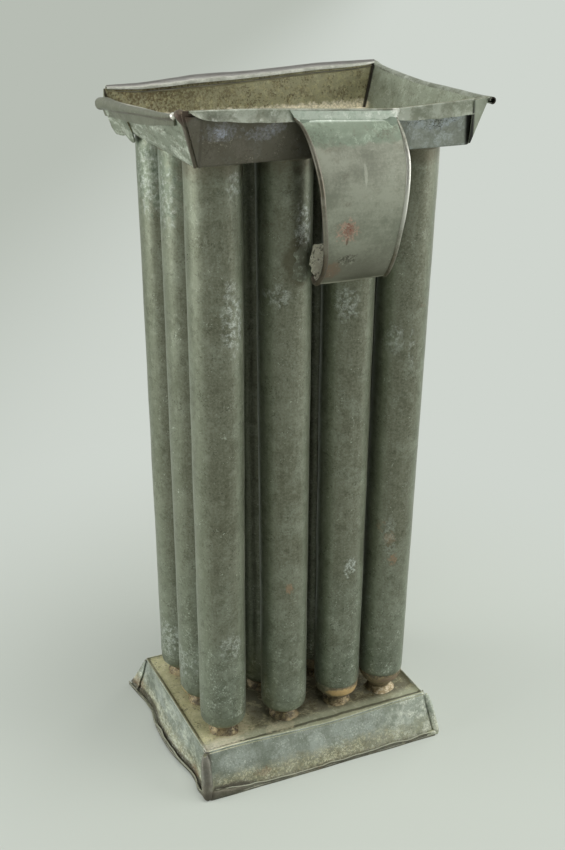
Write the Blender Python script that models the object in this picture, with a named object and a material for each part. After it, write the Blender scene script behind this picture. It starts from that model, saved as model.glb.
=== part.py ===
"""A twelve-tube tin candle mould: a folded tray on top, twelve tapered tubes in
three rows of four, a conical tip under each tube, a folded base that stands the
mould up, and a strap handle. Every joint between the pieces is soldered.

Metres, +Z up. The origin is on the floor, under the middle of the whole mould.
+X runs to the right along the long front, and -Y is the front, where the handle
is. The pieces are laid out round the middle of the base, and an empty that
carries them all then moves them back by as much as the handle stands out.
"""

import math

import bmesh
import bpy
from mathutils import Vector

MM = 0.001

# Sheet and seams
SHEET = 0.6 * MM
SOLDER_GAP = 0.3 * MM
HEM_STEP = 0.6 * MM
FLAP_RISE = 0.7 * MM
FLAP_EDGE = 0.3 * MM
SIDE_PARTS = 6
CUTTER_REACH = 5.0 * MM
SMOOTH_UNDER = math.radians(35)

# Tray
TRAY_HEIGHT = 18.0 * MM
TRAY_FLOOR_Z = 257.0 * MM
TRAY_FLOOR_LENGTH = 107.2 * MM
TRAY_FLOOR_DEPTH = 81.7 * MM
TRAY_RIM_LENGTH = 117.0 * MM
TRAY_RIM_DEPTH = 86.1 * MM
TRAY_HEM = 4.5 * MM
TRAY_BEAD_RADIUS = 1.35 * MM
TRAY_FLAP_WIDTH = 8.5 * MM
TRAY_FLAP_FOOT = 1.0 * MM

# The rolled rim's corners in degrees, and the last one that the corner flaps reach
RIM_ROLL = (-60, 0, 45, 90, 135, 180)
RIM_FLAP_END = 45

# The rim isn't level: how far each corner and each side's middle stand from it
RIM_FRONT_LEFT = 1.2 * MM
RIM_FRONT_RIGHT = -0.8 * MM
RIM_BACK_RIGHT = 1.4 * MM
RIM_BACK_LEFT = -5.4 * MM
RIM_FRONT_SAG = 2.4 * MM
RIM_RIGHT_SAG = 1.3 * MM
RIM_BACK_SAG = -1.5 * MM
RIM_LEFT_SAG = 1.2 * MM

# Base, a folded tray turned over
BASE_HEIGHT = 17.5 * MM
BASE_CREASE_LENGTH = 102.8 * MM
BASE_CREASE_DEPTH = 74.3 * MM
BASE_FOOT_LENGTH = 107.4 * MM
BASE_FOOT_DEPTH = 91.4 * MM
BASE_CREASE_RISE = 0.9 * MM
BASE_CREASE_WIDTH = 2.4 * MM
BASE_HEM = 4.0 * MM
BASE_FLAP_WIDTH = 6.5 * MM
BASE_FLAP_FOOT = 1.0 * MM

# Tubes: four along the front and three deep, closer together at the foot
TUBES_ALONG = 4
TUBES_DEEP = 3
TOP_PITCH_X = 26.3 * MM
TOP_PITCH_Y = 25.0 * MM
FOOT_PITCH_X = 24.8 * MM
FOOT_PITCH_Y = 23.6 * MM
TUBE_TOP_RADIUS = 10.5 * MM
TUBE_FOOT_RADIUS = 9.5 * MM
TUBE_FOOT_Z = 27.5 * MM
TUBE_STANDS_PROUD = 0.5 * MM
TUBE_LAP = 0.4 * MM
TUBE_SIDES = 20
LAP_SIDES = 3
SEAM_ANGLE = math.radians(25)
SEAM_EDGE_ANGLE = math.radians(1.5)

# Each column was set by hand, so it stands a little off the even spacing
TOP_WANDER_X = (-1.4 * MM, -0.5 * MM, 0.1 * MM, -1.4 * MM)
FOOT_WANDER_X = (-0.9 * MM, 2.1 * MM, 2.5 * MM, -0.9 * MM)

# Tips
TIP_SPIGOT = 4.0 * MM
TIP_SHOULDER_DROP = 2.2 * MM
TIP_SHOULDER_RADIUS = 8.6 * MM
TIP_SHOULDER_SHEET = 0.9 * MM
TIP_CONE_DROP = 6.2 * MM
TIP_NECK_RADIUS = 4.6 * MM
TIP_BELOW_PLATE = 3.5 * MM
WICK_HOLE_RADIUS = 1.2 * MM
TIP_SIDES = 16

# Solder
TOP_SOLDER_LEG = 1.1 * MM
FOOT_SOLDER_RADIUS = 7.0 * MM
FOOT_SOLDER_HEIGHT = 2.4 * MM
FOOT_SOLDER_BRIM = 0.7 * MM
SOLDER_SIDES = 16

# Handle, a strap with rolled edges
HANDLE_TOP_WIDTH = 39.4 * MM
HANDLE_WAIST_WIDTH = 33.5 * MM
HANDLE_WAIST_SHARE = 0.3
HANDLE_FOOT_WIDTH = 31.5 * MM
HANDLE_TOP_X = 1.6 * MM
HANDLE_FOOT_X = 7.0 * MM
HANDLE_SHEET = 0.7 * MM
HANDLE_BEAD_RADIUS = 0.9 * MM
HANDLE_BEAD_TO_FLAT = 1.26 * MM
HANDLE_BEAD_CORNERS = (-140, -70, 0, 70, 140)
HANDLE_BELOW_RIM = 0.8 * MM
HANDLE_LAP = 3.8 * MM
HANDLE_FOOT_Z = 211.2 * MM
HANDLE_TURN_RADIUS = 2.3 * MM
HANDLE_TURN_UP = 12.0 * MM
HANDLE_TURN_ANGLE = math.radians(37)
HANDLE_TOP_PULL = 17.5 * MM
HANDLE_FOOT_PULL = 21.5 * MM
HANDLE_TOP_ANGLE = math.radians(46)
HANDLE_BOW_STEPS = 9
HANDLE_TURN_STEPS = 5
CREASE_SOLDER_HEIGHT = 1.6 * MM
CREASE_SOLDER_DEPTH = 0.8 * MM
CREASE_SOLDER_FACE = 0.8 * MM
LEAF_ROOM = 0.25 * MM
EDGE_SOLDER_WIDTH = 3.4 * MM
CLEFT_SOLDER_START = 3.0 * MM
CLEFT_SOLDER_WIDTH = 3.8 * MM
FLANK_STEPS = 4

TRAY_COLOUR = (0.135, 0.135, 0.105)
TUBE_COLOUR = (0.125, 0.14, 0.12)
BASE_COLOUR = (0.17, 0.17, 0.125)
HANDLE_COLOUR = (0.2, 0.205, 0.17)
TIP_COLOUR = (0.24, 0.17, 0.09)
SOLDER_COLOUR = (0.36, 0.35, 0.27)

PAN_SIDES = 4
FRONT, RIGHT, BACK, LEFT = range(PAN_SIDES)
COLUMN_NAMES = ("1", "2", "3", "4")
ROW_NAMES = ("front", "middle", "back")


def clear_scene():
    for old in list(bpy.data.objects):
        bpy.data.objects.remove(old)


def metal(name, colour, roughness, metallic):
    material = bpy.data.materials.new(name)
    material.use_nodes = True
    shader = material.node_tree.nodes["Principled BSDF"]
    shader.inputs["Base Color"].default_value = (*colour, 1.0)
    shader.inputs["Roughness"].default_value = roughness
    shader.inputs["Metallic"].default_value = metallic
    return material


def skin(rings, capped):
    """A mesh over a row of rings: capped at both ends, or else closed on itself."""
    bm = bmesh.new()
    rows = [[bm.verts.new(point) for point in ring] for ring in rings]
    following = rows[1:] if capped else rows[1:] + rows[:1]
    for low, high in zip(rows, following):
        for i in range(len(low)):
            j = (i + 1) % len(low)
            bm.faces.new((low[i], low[j], high[j], high[i]))
    if capped:
        bm.faces.new(rows[0])
        bm.faces.new(rows[-1])
    bmesh.ops.recalc_face_normals(bm, faces=bm.faces)
    mesh = bpy.data.meshes.new("skin")
    bm.to_mesh(mesh)
    bm.free()
    return mesh


def turned(profile, sides):
    """A mesh turned round Z from a closed outline of radius and height."""
    rings = []
    for radius, z in profile:
        ring = []
        for i in range(sides):
            angle = 2 * math.pi * i / sides
            ring.append((radius * math.cos(angle), radius * math.sin(angle), z))
        rings.append(ring)
    return skin(rings, capped=False)


def place(name, mesh, material, location=(0, 0, 0)):
    """An object for one piece, shaded smooth where its faces meet at a low angle."""
    mesh.name = name
    piece = bpy.data.objects.new(name, mesh)
    piece.location = location
    bpy.context.scene.collection.objects.link(piece)
    if material.name not in mesh.materials:
        mesh.materials.append(material)
    mesh.shade_smooth()
    mesh.set_sharp_from_angle(angle=SMOOTH_UNDER)
    return piece


def cut_round_holes(piece, name, centres, radius, low, high, sides):
    """Cuts one upright round hole at each centre."""
    bm = bmesh.new()
    for x, y in centres:
        found = bmesh.ops.create_cone(
            bm, cap_ends=True, segments=sides, radius1=radius, radius2=radius, depth=high - low
        )
        bmesh.ops.translate(bm, verts=found["verts"], vec=(x, y, (low + high) / 2))
    mesh = bpy.data.meshes.new(name)
    bm.to_mesh(mesh)
    bm.free()
    cutter = bpy.data.objects.new(name, mesh)
    bpy.context.scene.collection.objects.link(cutter)
    cutter.hide_render = True
    cutter.display_type = "WIRE"
    cut = piece.modifiers.new("round holes", "BOOLEAN")
    cut.operation = "DIFFERENCE"
    cut.solver = "EXACT"
    cut.object = cutter


# Where the tubes stand


def top_centre(column, row):
    x = (column - (TUBES_ALONG - 1) / 2) * TOP_PITCH_X
    y = (row - (TUBES_DEEP - 1) / 2) * TOP_PITCH_Y
    return Vector((x + TOP_WANDER_X[column], y, TRAY_FLOOR_Z))


def foot_centre(column, row):
    x = (column - (TUBES_ALONG - 1) / 2) * FOOT_PITCH_X
    y = (row - (TUBES_DEEP - 1) / 2) * FOOT_PITCH_Y
    return Vector((x + FOOT_WANDER_X[column], y, TUBE_FOOT_Z))


def tube_share(z):
    """How far up the tubes a height is: 0 at the foot and 1 at the tray."""
    return (z - TUBE_FOOT_Z) / (TRAY_FLOOR_Z - TUBE_FOOT_Z)


def tube_radius(z):
    return TUBE_FOOT_RADIUS + (TUBE_TOP_RADIUS - TUBE_FOOT_RADIUS) * tube_share(z)


def tube_centre(column, row, z):
    return foot_centre(column, row).lerp(top_centre(column, row), tube_share(z))


def every_tube():
    return [(column, row) for row in range(TUBES_DEEP) for column in range(TUBES_ALONG)]


def tube_name(kind, column, row):
    return f"{kind}_{ROW_NAMES[row]}_{COLUMN_NAMES[column]}"


# Folded pans: the tray, and the base turned over


def pan_outline(half_x, half_y, out, flap_width, flap_rise):
    """Points round a pan at one height, as (x, y, side, share of the side).

    out holds how far each side's face stands out, and flap_rise how much more
    the folded corner flaps on the front and the back add.
    """
    left = -half_x - out[LEFT]
    right = half_x + out[RIGHT]
    front = -half_y - out[FRONT]
    back = half_y + out[BACK]
    length = right - left
    evenly = [length * i / SIDE_PARTS for i in range(1, SIDE_PARTS)]
    on_flap = (0.0, flap_width)
    off_flap = [flap_width + FLAP_EDGE, *evenly, length - flap_width - FLAP_EDGE]
    steps = [(s, flap_rise) for s in on_flap]
    steps += [(s, 0.0) for s in off_flap]
    steps.append((length - flap_width, flap_rise))
    points = [(left + s, front - rise, FRONT, s / length) for s, rise in steps]
    front_corner = front - flap_rise
    back_corner = back + flap_rise
    for i in range(SIDE_PARTS):
        share = i / SIDE_PARTS
        y = front_corner + (back_corner - front_corner) * share
        points.append((right, y, RIGHT, share))
    points += [(right - s, back + rise, BACK, s / length) for s, rise in steps]
    for i in range(SIDE_PARTS):
        share = i / SIDE_PARTS
        y = back_corner + (front_corner - back_corner) * share
        points.append((left, y, LEFT, share))
    return points


def rim_height(side, share):
    """How far the tray's rim stands above or below its level at this place."""
    corners = (RIM_FRONT_LEFT, RIM_FRONT_RIGHT, RIM_BACK_RIGHT, RIM_BACK_LEFT)
    sags = (RIM_FRONT_SAG, RIM_RIGHT_SAG, RIM_BACK_SAG, RIM_LEFT_SAG)
    start = corners[side]
    end = corners[(side + 1) % len(corners)]
    return start + (end - start) * share - sags[side] * math.sin(math.pi * share)


def tray_ring(up, out, lift, rise):
    """One ring of the tray, at a share of its height, lifted a little on each side."""
    half_x = (TRAY_FLOOR_LENGTH + (TRAY_RIM_LENGTH - TRAY_FLOOR_LENGTH) * up) / 2
    half_y = (TRAY_FLOOR_DEPTH + (TRAY_RIM_DEPTH - TRAY_FLOOR_DEPTH) * up) / 2
    width = TRAY_FLAP_FOOT + (TRAY_FLAP_WIDTH - TRAY_FLAP_FOOT) * up
    ring = []
    for x, y, side, share in pan_outline(half_x, half_y, out, width, rise):
        z = TRAY_FLOOR_Z + TRAY_HEIGHT * up + lift[side] + rim_height(side, share) * up
        ring.append((x, y, z))
    return ring


def rim_bead(angle):
    """Where each side's rolled edge is at an angle: how far out, and how far up.

    The front edge is only folded flat, so its roll is as thin as the fold.
    """
    fold = (SHEET + HEM_STEP) / 2
    radii = (fold, TRAY_BEAD_RADIUS, TRAY_BEAD_RADIUS, TRAY_BEAD_RADIUS)
    out = [radius - SHEET + radius * math.cos(angle) for radius in radii]
    lift = [radius * math.sin(angle) - radius for radius in radii]
    return out, lift


def make_tray(material):
    level = (0.0,) * PAN_SIDES
    inner = (-SHEET,) * PAN_SIDES
    hem = (HEM_STEP,) * PAN_SIDES
    hem_up = 1 - TRAY_HEM / TRAY_HEIGHT
    rings = [
        tray_ring(0.0, level, level, FLAP_RISE),
        tray_ring(hem_up, level, level, FLAP_RISE),
        tray_ring(hem_up, hem, level, FLAP_RISE),
    ]
    for degrees in RIM_ROLL:
        out, lift = rim_bead(math.radians(degrees))
        rise = FLAP_RISE if degrees <= RIM_FLAP_END else 0.0
        rings.append(tray_ring(1.0, out, lift, rise))
    rings.append(tray_ring(SHEET / TRAY_HEIGHT, inner, level, 0.0))
    tray = place("tray", skin(rings, capped=True), material)
    centres = [top_centre(column, row).xy for column, row in every_tube()]
    radius = TUBE_TOP_RADIUS + TUBE_LAP + SOLDER_GAP
    low = TRAY_FLOOR_Z - CUTTER_REACH
    high = TRAY_FLOOR_Z + CUTTER_REACH
    cut_round_holes(tray, "tube_holes_in_tray", centres, radius, low, high, TUBE_SIDES)
    return tray


def base_ring(down, out, drop, rise):
    """One ring of the base, at a share of the way from its crease to the floor."""
    half_x = (BASE_CREASE_LENGTH + (BASE_FOOT_LENGTH - BASE_CREASE_LENGTH) * down) / 2
    half_y = (BASE_CREASE_DEPTH + (BASE_FOOT_DEPTH - BASE_CREASE_DEPTH) * down) / 2
    width = BASE_FLAP_FOOT + (BASE_FLAP_WIDTH - BASE_FLAP_FOOT) * down
    z = BASE_HEIGHT * (1 - down) - drop
    sides = (out,) * PAN_SIDES
    return [(x, y, z) for x, y, _, _ in pan_outline(half_x, half_y, sides, width, rise)]


def make_base(material):
    hem_down = 1 - BASE_HEM / BASE_HEIGHT
    sheet_down = SHEET / BASE_HEIGHT
    plate = -BASE_CREASE_WIDTH
    rings = [
        base_ring(0.0, plate, BASE_CREASE_RISE, 0.0),
        base_ring(0.0, -SHEET, 0.0, 0.0),
        base_ring(sheet_down, 0.0, 0.0, FLAP_RISE),
        base_ring(hem_down, 0.0, 0.0, FLAP_RISE),
        base_ring(hem_down, HEM_STEP, 0.0, FLAP_RISE),
        base_ring(1.0, HEM_STEP, 0.0, FLAP_RISE),
        base_ring(1.0, -SHEET, 0.0, 0.0),
        base_ring(2 * sheet_down, -SHEET, 0.0, 0.0),
        base_ring(sheet_down, plate, BASE_CREASE_RISE, 0.0),
    ]
    base = place("base", skin(rings, capped=True), material)
    centres = [foot_centre(column, row).xy for column, row in every_tube()]
    low = plate_top() - CUTTER_REACH
    high = plate_top() + CUTTER_REACH
    radius = TIP_NECK_RADIUS + SOLDER_GAP
    cut_round_holes(base, "tip_holes_in_base", centres, radius, low, high, TIP_SIDES)
    return base


def plate_top():
    return BASE_HEIGHT - BASE_CREASE_RISE


# Tubes and tips


def tube_ring(radius, lap, z):
    """A ring of the tube, whose sheet laps over itself at the seam."""
    ring = []
    for i in range(TUBE_SIDES):
        angle = SEAM_ANGLE + 2 * math.pi * i / TUBE_SIDES
        over = lap * max(0.0, 1 - i / LAP_SIDES)
        ring.append(((radius + over) * math.cos(angle), (radius + over) * math.sin(angle), z))
    under = SEAM_ANGLE - SEAM_EDGE_ANGLE
    ring.append((radius * math.cos(under), radius * math.sin(under), z))
    return ring


def tube_mesh():
    """One tapered tube, standing on its own foot, open at both ends."""
    length = TRAY_FLOOR_Z + SHEET + TUBE_STANDS_PROUD - TUBE_FOOT_Z
    rings = [
        tube_ring(TUBE_FOOT_RADIUS, TUBE_LAP, 0.0),
        tube_ring(TUBE_TOP_RADIUS, TUBE_LAP, length),
        tube_ring(TUBE_TOP_RADIUS - SHEET, 0.0, length),
        tube_ring(TUBE_FOOT_RADIUS - SHEET, 0.0, 0.0),
    ]
    return skin(rings, capped=False)


def make_tubes(material):
    mesh = tube_mesh()
    for column, row in every_tube():
        foot = foot_centre(column, row)
        tube = place(tube_name("tube", column, row), mesh, material, foot)
        lean = top_centre(column, row) - foot
        tube.rotation_euler = Vector((0, 0, 1)).rotation_difference(lean).to_euler()


def tip_mesh():
    """A hollow cone under the tube's end: its spigot goes up inside the tube."""
    spigot = TUBE_FOOT_RADIUS - SHEET - SOLDER_GAP
    top = TIP_SPIGOT
    seat = -SOLDER_GAP
    cone_foot = -TIP_SHOULDER_DROP - TIP_CONE_DROP + SHEET
    end = plate_top() - SHEET - TIP_BELOW_PLATE - TUBE_FOOT_Z
    profile = [
        (spigot, top),
        (spigot, seat),
        (TUBE_FOOT_RADIUS, seat),
        (TIP_SHOULDER_RADIUS, -TIP_SHOULDER_DROP),
        (TIP_NECK_RADIUS, cone_foot),
        (TIP_NECK_RADIUS, end),
        (WICK_HOLE_RADIUS, end),
        (WICK_HOLE_RADIUS, end + SHEET),
        (TIP_NECK_RADIUS - SHEET, end + SHEET),
        (TIP_NECK_RADIUS - SHEET, cone_foot + SHEET),
        (TIP_SHOULDER_RADIUS - TIP_SHOULDER_SHEET, -TIP_SHOULDER_DROP),
        (spigot - SHEET, top),
    ]
    return turned(profile, TIP_SIDES)


def make_tips(material):
    mesh = tip_mesh()
    for column, row in every_tube():
        place(tube_name("tip", column, row), mesh, material, foot_centre(column, row))


# Solder round the tubes


def top_solder_mesh():
    """A fillet under the tray's floor, round the top of a tube."""
    radius = TUBE_TOP_RADIUS + TUBE_LAP + SOLDER_GAP
    profile = [
        (radius, -SOLDER_GAP - TOP_SOLDER_LEG),
        (radius + TOP_SOLDER_LEG, -SOLDER_GAP),
        (radius, -SOLDER_GAP),
    ]
    return turned(profile, SOLDER_SIDES)


def foot_solder_mesh():
    """A low collar on the base plate, round the neck of a tip."""
    radius = TIP_NECK_RADIUS + SOLDER_GAP
    profile = [
        (radius, SOLDER_GAP),
        (FOOT_SOLDER_RADIUS, SOLDER_GAP),
        (FOOT_SOLDER_RADIUS - FOOT_SOLDER_BRIM, SOLDER_GAP + FOOT_SOLDER_BRIM),
        (radius, SOLDER_GAP + FOOT_SOLDER_HEIGHT),
    ]
    return turned(profile, SOLDER_SIDES)


def make_solder_rings(material):
    under_tray = top_solder_mesh()
    on_plate = foot_solder_mesh()
    for column, row in every_tube():
        top = top_centre(column, row)
        foot = foot_centre(column, row)
        foot.z = plate_top()
        place(tube_name("top_solder", column, row), under_tray, material, top)
        place(tube_name("foot_solder", column, row), on_plate, material, foot)


# Handle


def handle_lap_y():
    """The strap's middle where it lies on the tray's front hem."""
    return -(TRAY_RIM_DEPTH / 2 + HEM_STEP + SOLDER_GAP + HANDLE_BEAD_RADIUS)


def handle_lap_z():
    middle = HANDLE_TOP_X / TRAY_RIM_LENGTH + 0.5
    return TRAY_FLOOR_Z + TRAY_HEIGHT + rim_height(FRONT, middle) - HANDLE_BELOW_RIM


def leaf_y():
    """The middle of the turned-up leaf, which lies flat against a front tube.

    The tube swells and leans a little along the leaf, so the leaf leaves room.
    """
    z = HANDLE_FOOT_Z
    front_of_tube = tube_centre(0, 0, z).y - tube_radius(z)
    return front_of_tube - LEAF_ROOM - SOLDER_GAP - HANDLE_SHEET / 2


def bezier(points, t):
    a, b, c, d = points
    s = 1 - t
    return a * s**3 + b * (3 * s * s * t) + c * (3 * s * t * t) + d * t**3


def handle_path():
    """The strap's middle line in the Y, Z plane: lap, bow, turn and leaf."""
    lap_top = Vector((handle_lap_y(), handle_lap_z()))
    lap_foot = lap_top - Vector((0, HANDLE_LAP))
    slope = HANDLE_TURN_ANGLE
    heart = Vector((leaf_y() - HANDLE_TURN_RADIUS, HANDLE_FOOT_Z + HANDLE_TURN_RADIUS))
    turn_start = heart + HANDLE_TURN_RADIUS * Vector((-math.sin(slope), -math.cos(slope)))
    away = Vector((-math.sin(HANDLE_TOP_ANGLE), -math.cos(HANDLE_TOP_ANGLE)))
    back_up = Vector((-math.cos(slope), math.sin(slope)))
    bow = (
        lap_foot,
        lap_foot + away * HANDLE_TOP_PULL,
        turn_start + back_up * HANDLE_FOOT_PULL,
        turn_start,
    )
    path = [lap_top]
    path += [bezier(bow, i / HANDLE_BOW_STEPS) for i in range(HANDLE_BOW_STEPS)]
    for i in range(HANDLE_TURN_STEPS):
        angle = -slope + (math.pi / 2 + slope) * i / HANDLE_TURN_STEPS
        path.append(heart + HANDLE_TURN_RADIUS * Vector((math.sin(angle), -math.cos(angle))))
    leaf_foot = heart + Vector((HANDLE_TURN_RADIUS, 0))
    path += [leaf_foot, leaf_foot + Vector((0, HANDLE_TURN_UP))]
    return path


def strap_section(width):
    """The strap's outline across its width, with a round bead along each edge."""
    radius = HANDLE_BEAD_RADIUS
    bead_x = width / 2 - radius
    flat_x = bead_x - HANDLE_BEAD_TO_FLAT
    half = HANDLE_SHEET / 2
    angles = [math.radians(corner) for corner in HANDLE_BEAD_CORNERS]
    bead = [(bead_x + radius * math.cos(a), radius * math.sin(a)) for a in angles]
    right = [(flat_x, -half), *bead, (flat_x, half)]
    left = [(-x, -y) for x, y in right]
    return right + left


def handle_width(share):
    """The strap narrows quickly below the lap, and slowly from there to its foot."""
    waist = HANDLE_WAIST_SHARE
    if share < waist:
        return HANDLE_TOP_WIDTH + (HANDLE_WAIST_WIDTH - HANDLE_TOP_WIDTH) * share / waist
    late = (share - waist) / (1 - waist)
    return HANDLE_WAIST_WIDTH + (HANDLE_FOOT_WIDTH - HANDLE_WAIST_WIDTH) * late


def make_handle(material):
    path = handle_path()
    rings = []
    for i, point in enumerate(path):
        before = path[max(i - 1, 0)]
        after = path[min(i + 1, len(path) - 1)]
        along = (after - before).normalized()
        out = Vector((along.y, -along.x))
        share = min(i / (len(path) - 2), 1.0)
        centre = HANDLE_TOP_X + (HANDLE_FOOT_X - HANDLE_TOP_X) * share
        ring = []
        for across, rise in strap_section(handle_width(share)):
            spot = point - out * rise
            ring.append((centre + across, spot.x, spot.y))
        rings.append(ring)
    return place("handle", skin(rings, capped=True), material)


def make_crease_solder(material):
    """A bead of solder along the crease where the strap leaves the tray's hem."""
    y = handle_lap_y() - HANDLE_BEAD_RADIUS - SOLDER_GAP
    low = handle_lap_z() - HANDLE_LAP
    middle = low + CREASE_SOLDER_HEIGHT / 2
    section = (
        (y, low + CREASE_SOLDER_HEIGHT),
        (y - CREASE_SOLDER_DEPTH, middle + CREASE_SOLDER_FACE / 2),
        (y - CREASE_SOLDER_DEPTH, middle - CREASE_SOLDER_FACE / 2),
        (y, low),
    )
    half = HANDLE_TOP_WIDTH / 2 - HANDLE_BEAD_RADIUS
    rings = [[(HANDLE_TOP_X + side * half, a, b) for a, b in section] for side in (-1, 1)]
    return place("handle_top_solder", skin(rings, capped=True), material)


def flank(column, z, start, width):
    """Points just off the front of a front tube, from one place across it to another."""
    centre = tube_centre(column, 0, z)
    radius = tube_radius(z) + SOLDER_GAP
    points = []
    for i in range(FLANK_STEPS + 1):
        x = start + width * i / FLANK_STEPS
        reach = math.sqrt(max(radius**2 - (x - centre.x) ** 2, 0.0))
        points.append((x, centre.y - reach, z))
    return points


def leaf_heights():
    low = HANDLE_FOOT_Z + HANDLE_TURN_RADIUS
    return low, low + HANDLE_TURN_UP


def make_edge_solder(material, column):
    """A fillet beside the turned-up leaf, from its left edge out onto a front tube."""
    end = HANDLE_FOOT_X - HANDLE_FOOT_WIDTH / 2 - SOLDER_GAP
    rings = []
    for z in leaf_heights():
        ring = flank(column, z, end - EDGE_SOLDER_WIDTH, EDGE_SOLDER_WIDTH)
        ring.append((end, leaf_y() - HANDLE_SHEET, z))
        rings.append(ring)
    return place("handle_foot_solder_left", skin(rings, capped=True), material)


def make_cleft_solder(material, column):
    """Solder in the cleft between the back of the leaf and the flank of a front tube."""
    face = leaf_y() + HANDLE_SHEET / 2 + SOLDER_GAP
    rings = []
    for z in leaf_heights():
        start = tube_centre(column, 0, z).x + CLEFT_SOLDER_START
        ring = flank(column, z, start, CLEFT_SOLDER_WIDTH)
        ring += [(start + CLEFT_SOLDER_WIDTH, face, z), (start, face, z)]
        rings.append(ring)
    return place("handle_foot_solder_right", skin(rings, capped=True), material)


def stand_over_origin():
    """Hangs every piece on one empty, so that the mould's middle is over the origin."""
    bpy.context.view_layer.update()
    whole = list(bpy.context.scene.collection.objects)
    pieces = [piece for piece in whole if not piece.hide_render]
    reach = [(piece.matrix_world @ v.co).y for piece in pieces for v in piece.data.vertices]
    mould = bpy.data.objects.new("mould", None)
    bpy.context.scene.collection.objects.link(mould)
    for piece in whole:
        piece.parent = mould
    mould.location.y = -(min(reach) + max(reach)) / 2


def main():
    clear_scene()
    tin_tray = metal("tin_tray", TRAY_COLOUR, roughness=0.55, metallic=0.6)
    tin_tube = metal("tin_tube", TUBE_COLOUR, roughness=0.6, metallic=0.55)
    tin_base = metal("tin_base", BASE_COLOUR, roughness=0.65, metallic=0.45)
    tin_handle = metal("tin_handle", HANDLE_COLOUR, roughness=0.5, metallic=0.6)
    rusty_tip = metal("rusty_tip", TIP_COLOUR, roughness=0.65, metallic=0.5)
    solder = metal("solder", SOLDER_COLOUR, roughness=0.7, metallic=0.4)
    make_tray(tin_tray)
    make_base(tin_base)
    make_tubes(tin_tube)
    make_tips(rusty_tip)
    make_solder_rings(solder)
    make_handle(tin_handle)
    make_crease_solder(solder)
    make_edge_solder(solder, column=1)
    make_cleft_solder(solder, column=2)
    stand_over_origin()


main()
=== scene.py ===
# %% [markdown]
# # A tinned-iron candle mould
#
# Twelve tapered tubes hang between a tray and a base. Melted wax was poured into the tray,
# ran down into the tubes and set round the wicks that came up through their tips. A strap
# handle is soldered to the front of the tray.
#
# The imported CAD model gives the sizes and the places. This script only dresses it. Each
# piece of sheet metal gets a finer mesh, with the dents, wavy hems and rough solder of the
# real one, and every surface gets a finish made of shader nodes.

import math

import bmesh
import bpy
from mathutils import Matrix, Vector, noise


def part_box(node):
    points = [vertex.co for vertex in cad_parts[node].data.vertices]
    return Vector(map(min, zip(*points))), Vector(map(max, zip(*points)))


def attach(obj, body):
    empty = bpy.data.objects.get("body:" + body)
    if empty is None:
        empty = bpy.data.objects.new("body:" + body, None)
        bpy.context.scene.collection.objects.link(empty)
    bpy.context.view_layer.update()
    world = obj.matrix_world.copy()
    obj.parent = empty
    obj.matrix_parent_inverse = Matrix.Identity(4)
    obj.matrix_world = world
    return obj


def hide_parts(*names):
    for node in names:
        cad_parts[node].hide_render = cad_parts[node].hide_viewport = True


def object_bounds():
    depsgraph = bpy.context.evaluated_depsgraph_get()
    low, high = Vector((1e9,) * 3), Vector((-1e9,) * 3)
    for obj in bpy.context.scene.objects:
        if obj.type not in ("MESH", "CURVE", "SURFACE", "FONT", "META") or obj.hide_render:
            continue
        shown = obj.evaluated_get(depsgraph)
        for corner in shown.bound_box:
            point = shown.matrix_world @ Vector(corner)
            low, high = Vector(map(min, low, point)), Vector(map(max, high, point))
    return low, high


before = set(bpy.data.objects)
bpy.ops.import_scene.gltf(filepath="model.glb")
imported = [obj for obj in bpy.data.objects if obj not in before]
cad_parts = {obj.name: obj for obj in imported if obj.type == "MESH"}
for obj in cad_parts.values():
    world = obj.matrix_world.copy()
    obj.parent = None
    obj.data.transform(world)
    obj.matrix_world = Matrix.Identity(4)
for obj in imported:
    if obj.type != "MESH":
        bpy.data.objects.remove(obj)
cad_low, cad_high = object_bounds()
print("CAD nodes:", len(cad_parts))

# %% [markdown]
# ## Millimetres
#
# A tinsmith works in small units, so all lengths here are in millimetres. They are measured
# from the floor under the middle of the base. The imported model's own origin lies under the
# middle of the whole mould, a little further forward, so one shift in Y joins the two.

# %% Units and the middle of the base
MM = 0.001
base_low, base_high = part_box("base")
MIDDLE_Y = (base_low.y + base_high.y) / 2 / MM


def metres(point):
    x, y, z = point
    return Vector((x, y + MIDDLE_Y, z)) * MM


print("the base's middle is", round(MIDDLE_Y, 2), "mm behind the origin")

# %% [markdown]
# ## The camera
#
# The camera stands where the photograph was taken from: in front, to the left and above.
# Its place and angles were worked out by matching the edges of the tubes, the tray and the
# base, so that straight lines fall where they fall in the photograph.

# %% Camera
CAMERA_PLACE = (-204.4, -433.8, 348.5)
CAMERA_AZIMUTH = math.radians(-25.09)
CAMERA_ELEVATION = math.radians(23.58)
CAMERA_ROLL = math.radians(0.72)
CAMERA_LENS = 54.2


def turned_camera(place, azimuth, elevation, roll):
    """The camera's matrix: back points from the mould towards it, right and up span its picture."""
    level = math.cos(elevation)
    back = Vector((math.sin(azimuth) * level, -math.cos(azimuth) * level, math.sin(elevation)))
    right = Vector((math.cos(azimuth), math.sin(azimuth), 0))
    up = back.cross(right)
    across = right * math.cos(roll) + up * math.sin(roll)
    upward = up * math.cos(roll) - right * math.sin(roll)
    matrix = Matrix((across, upward, back)).transposed().to_4x4()
    matrix.translation = metres(place)
    return matrix


camera = bpy.data.objects.new("camera", bpy.data.cameras.new("camera"))
camera.data.lens = CAMERA_LENS
camera.matrix_world = turned_camera(
    CAMERA_PLACE, CAMERA_AZIMUTH, CAMERA_ELEVATION, CAMERA_ROLL
)
bpy.context.scene.collection.objects.link(camera)
bpy.context.scene.camera = camera
bpy.context.scene.view_settings.view_transform = "Standard"
print("camera at", [round(c, 3) for c in camera.location])

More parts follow.
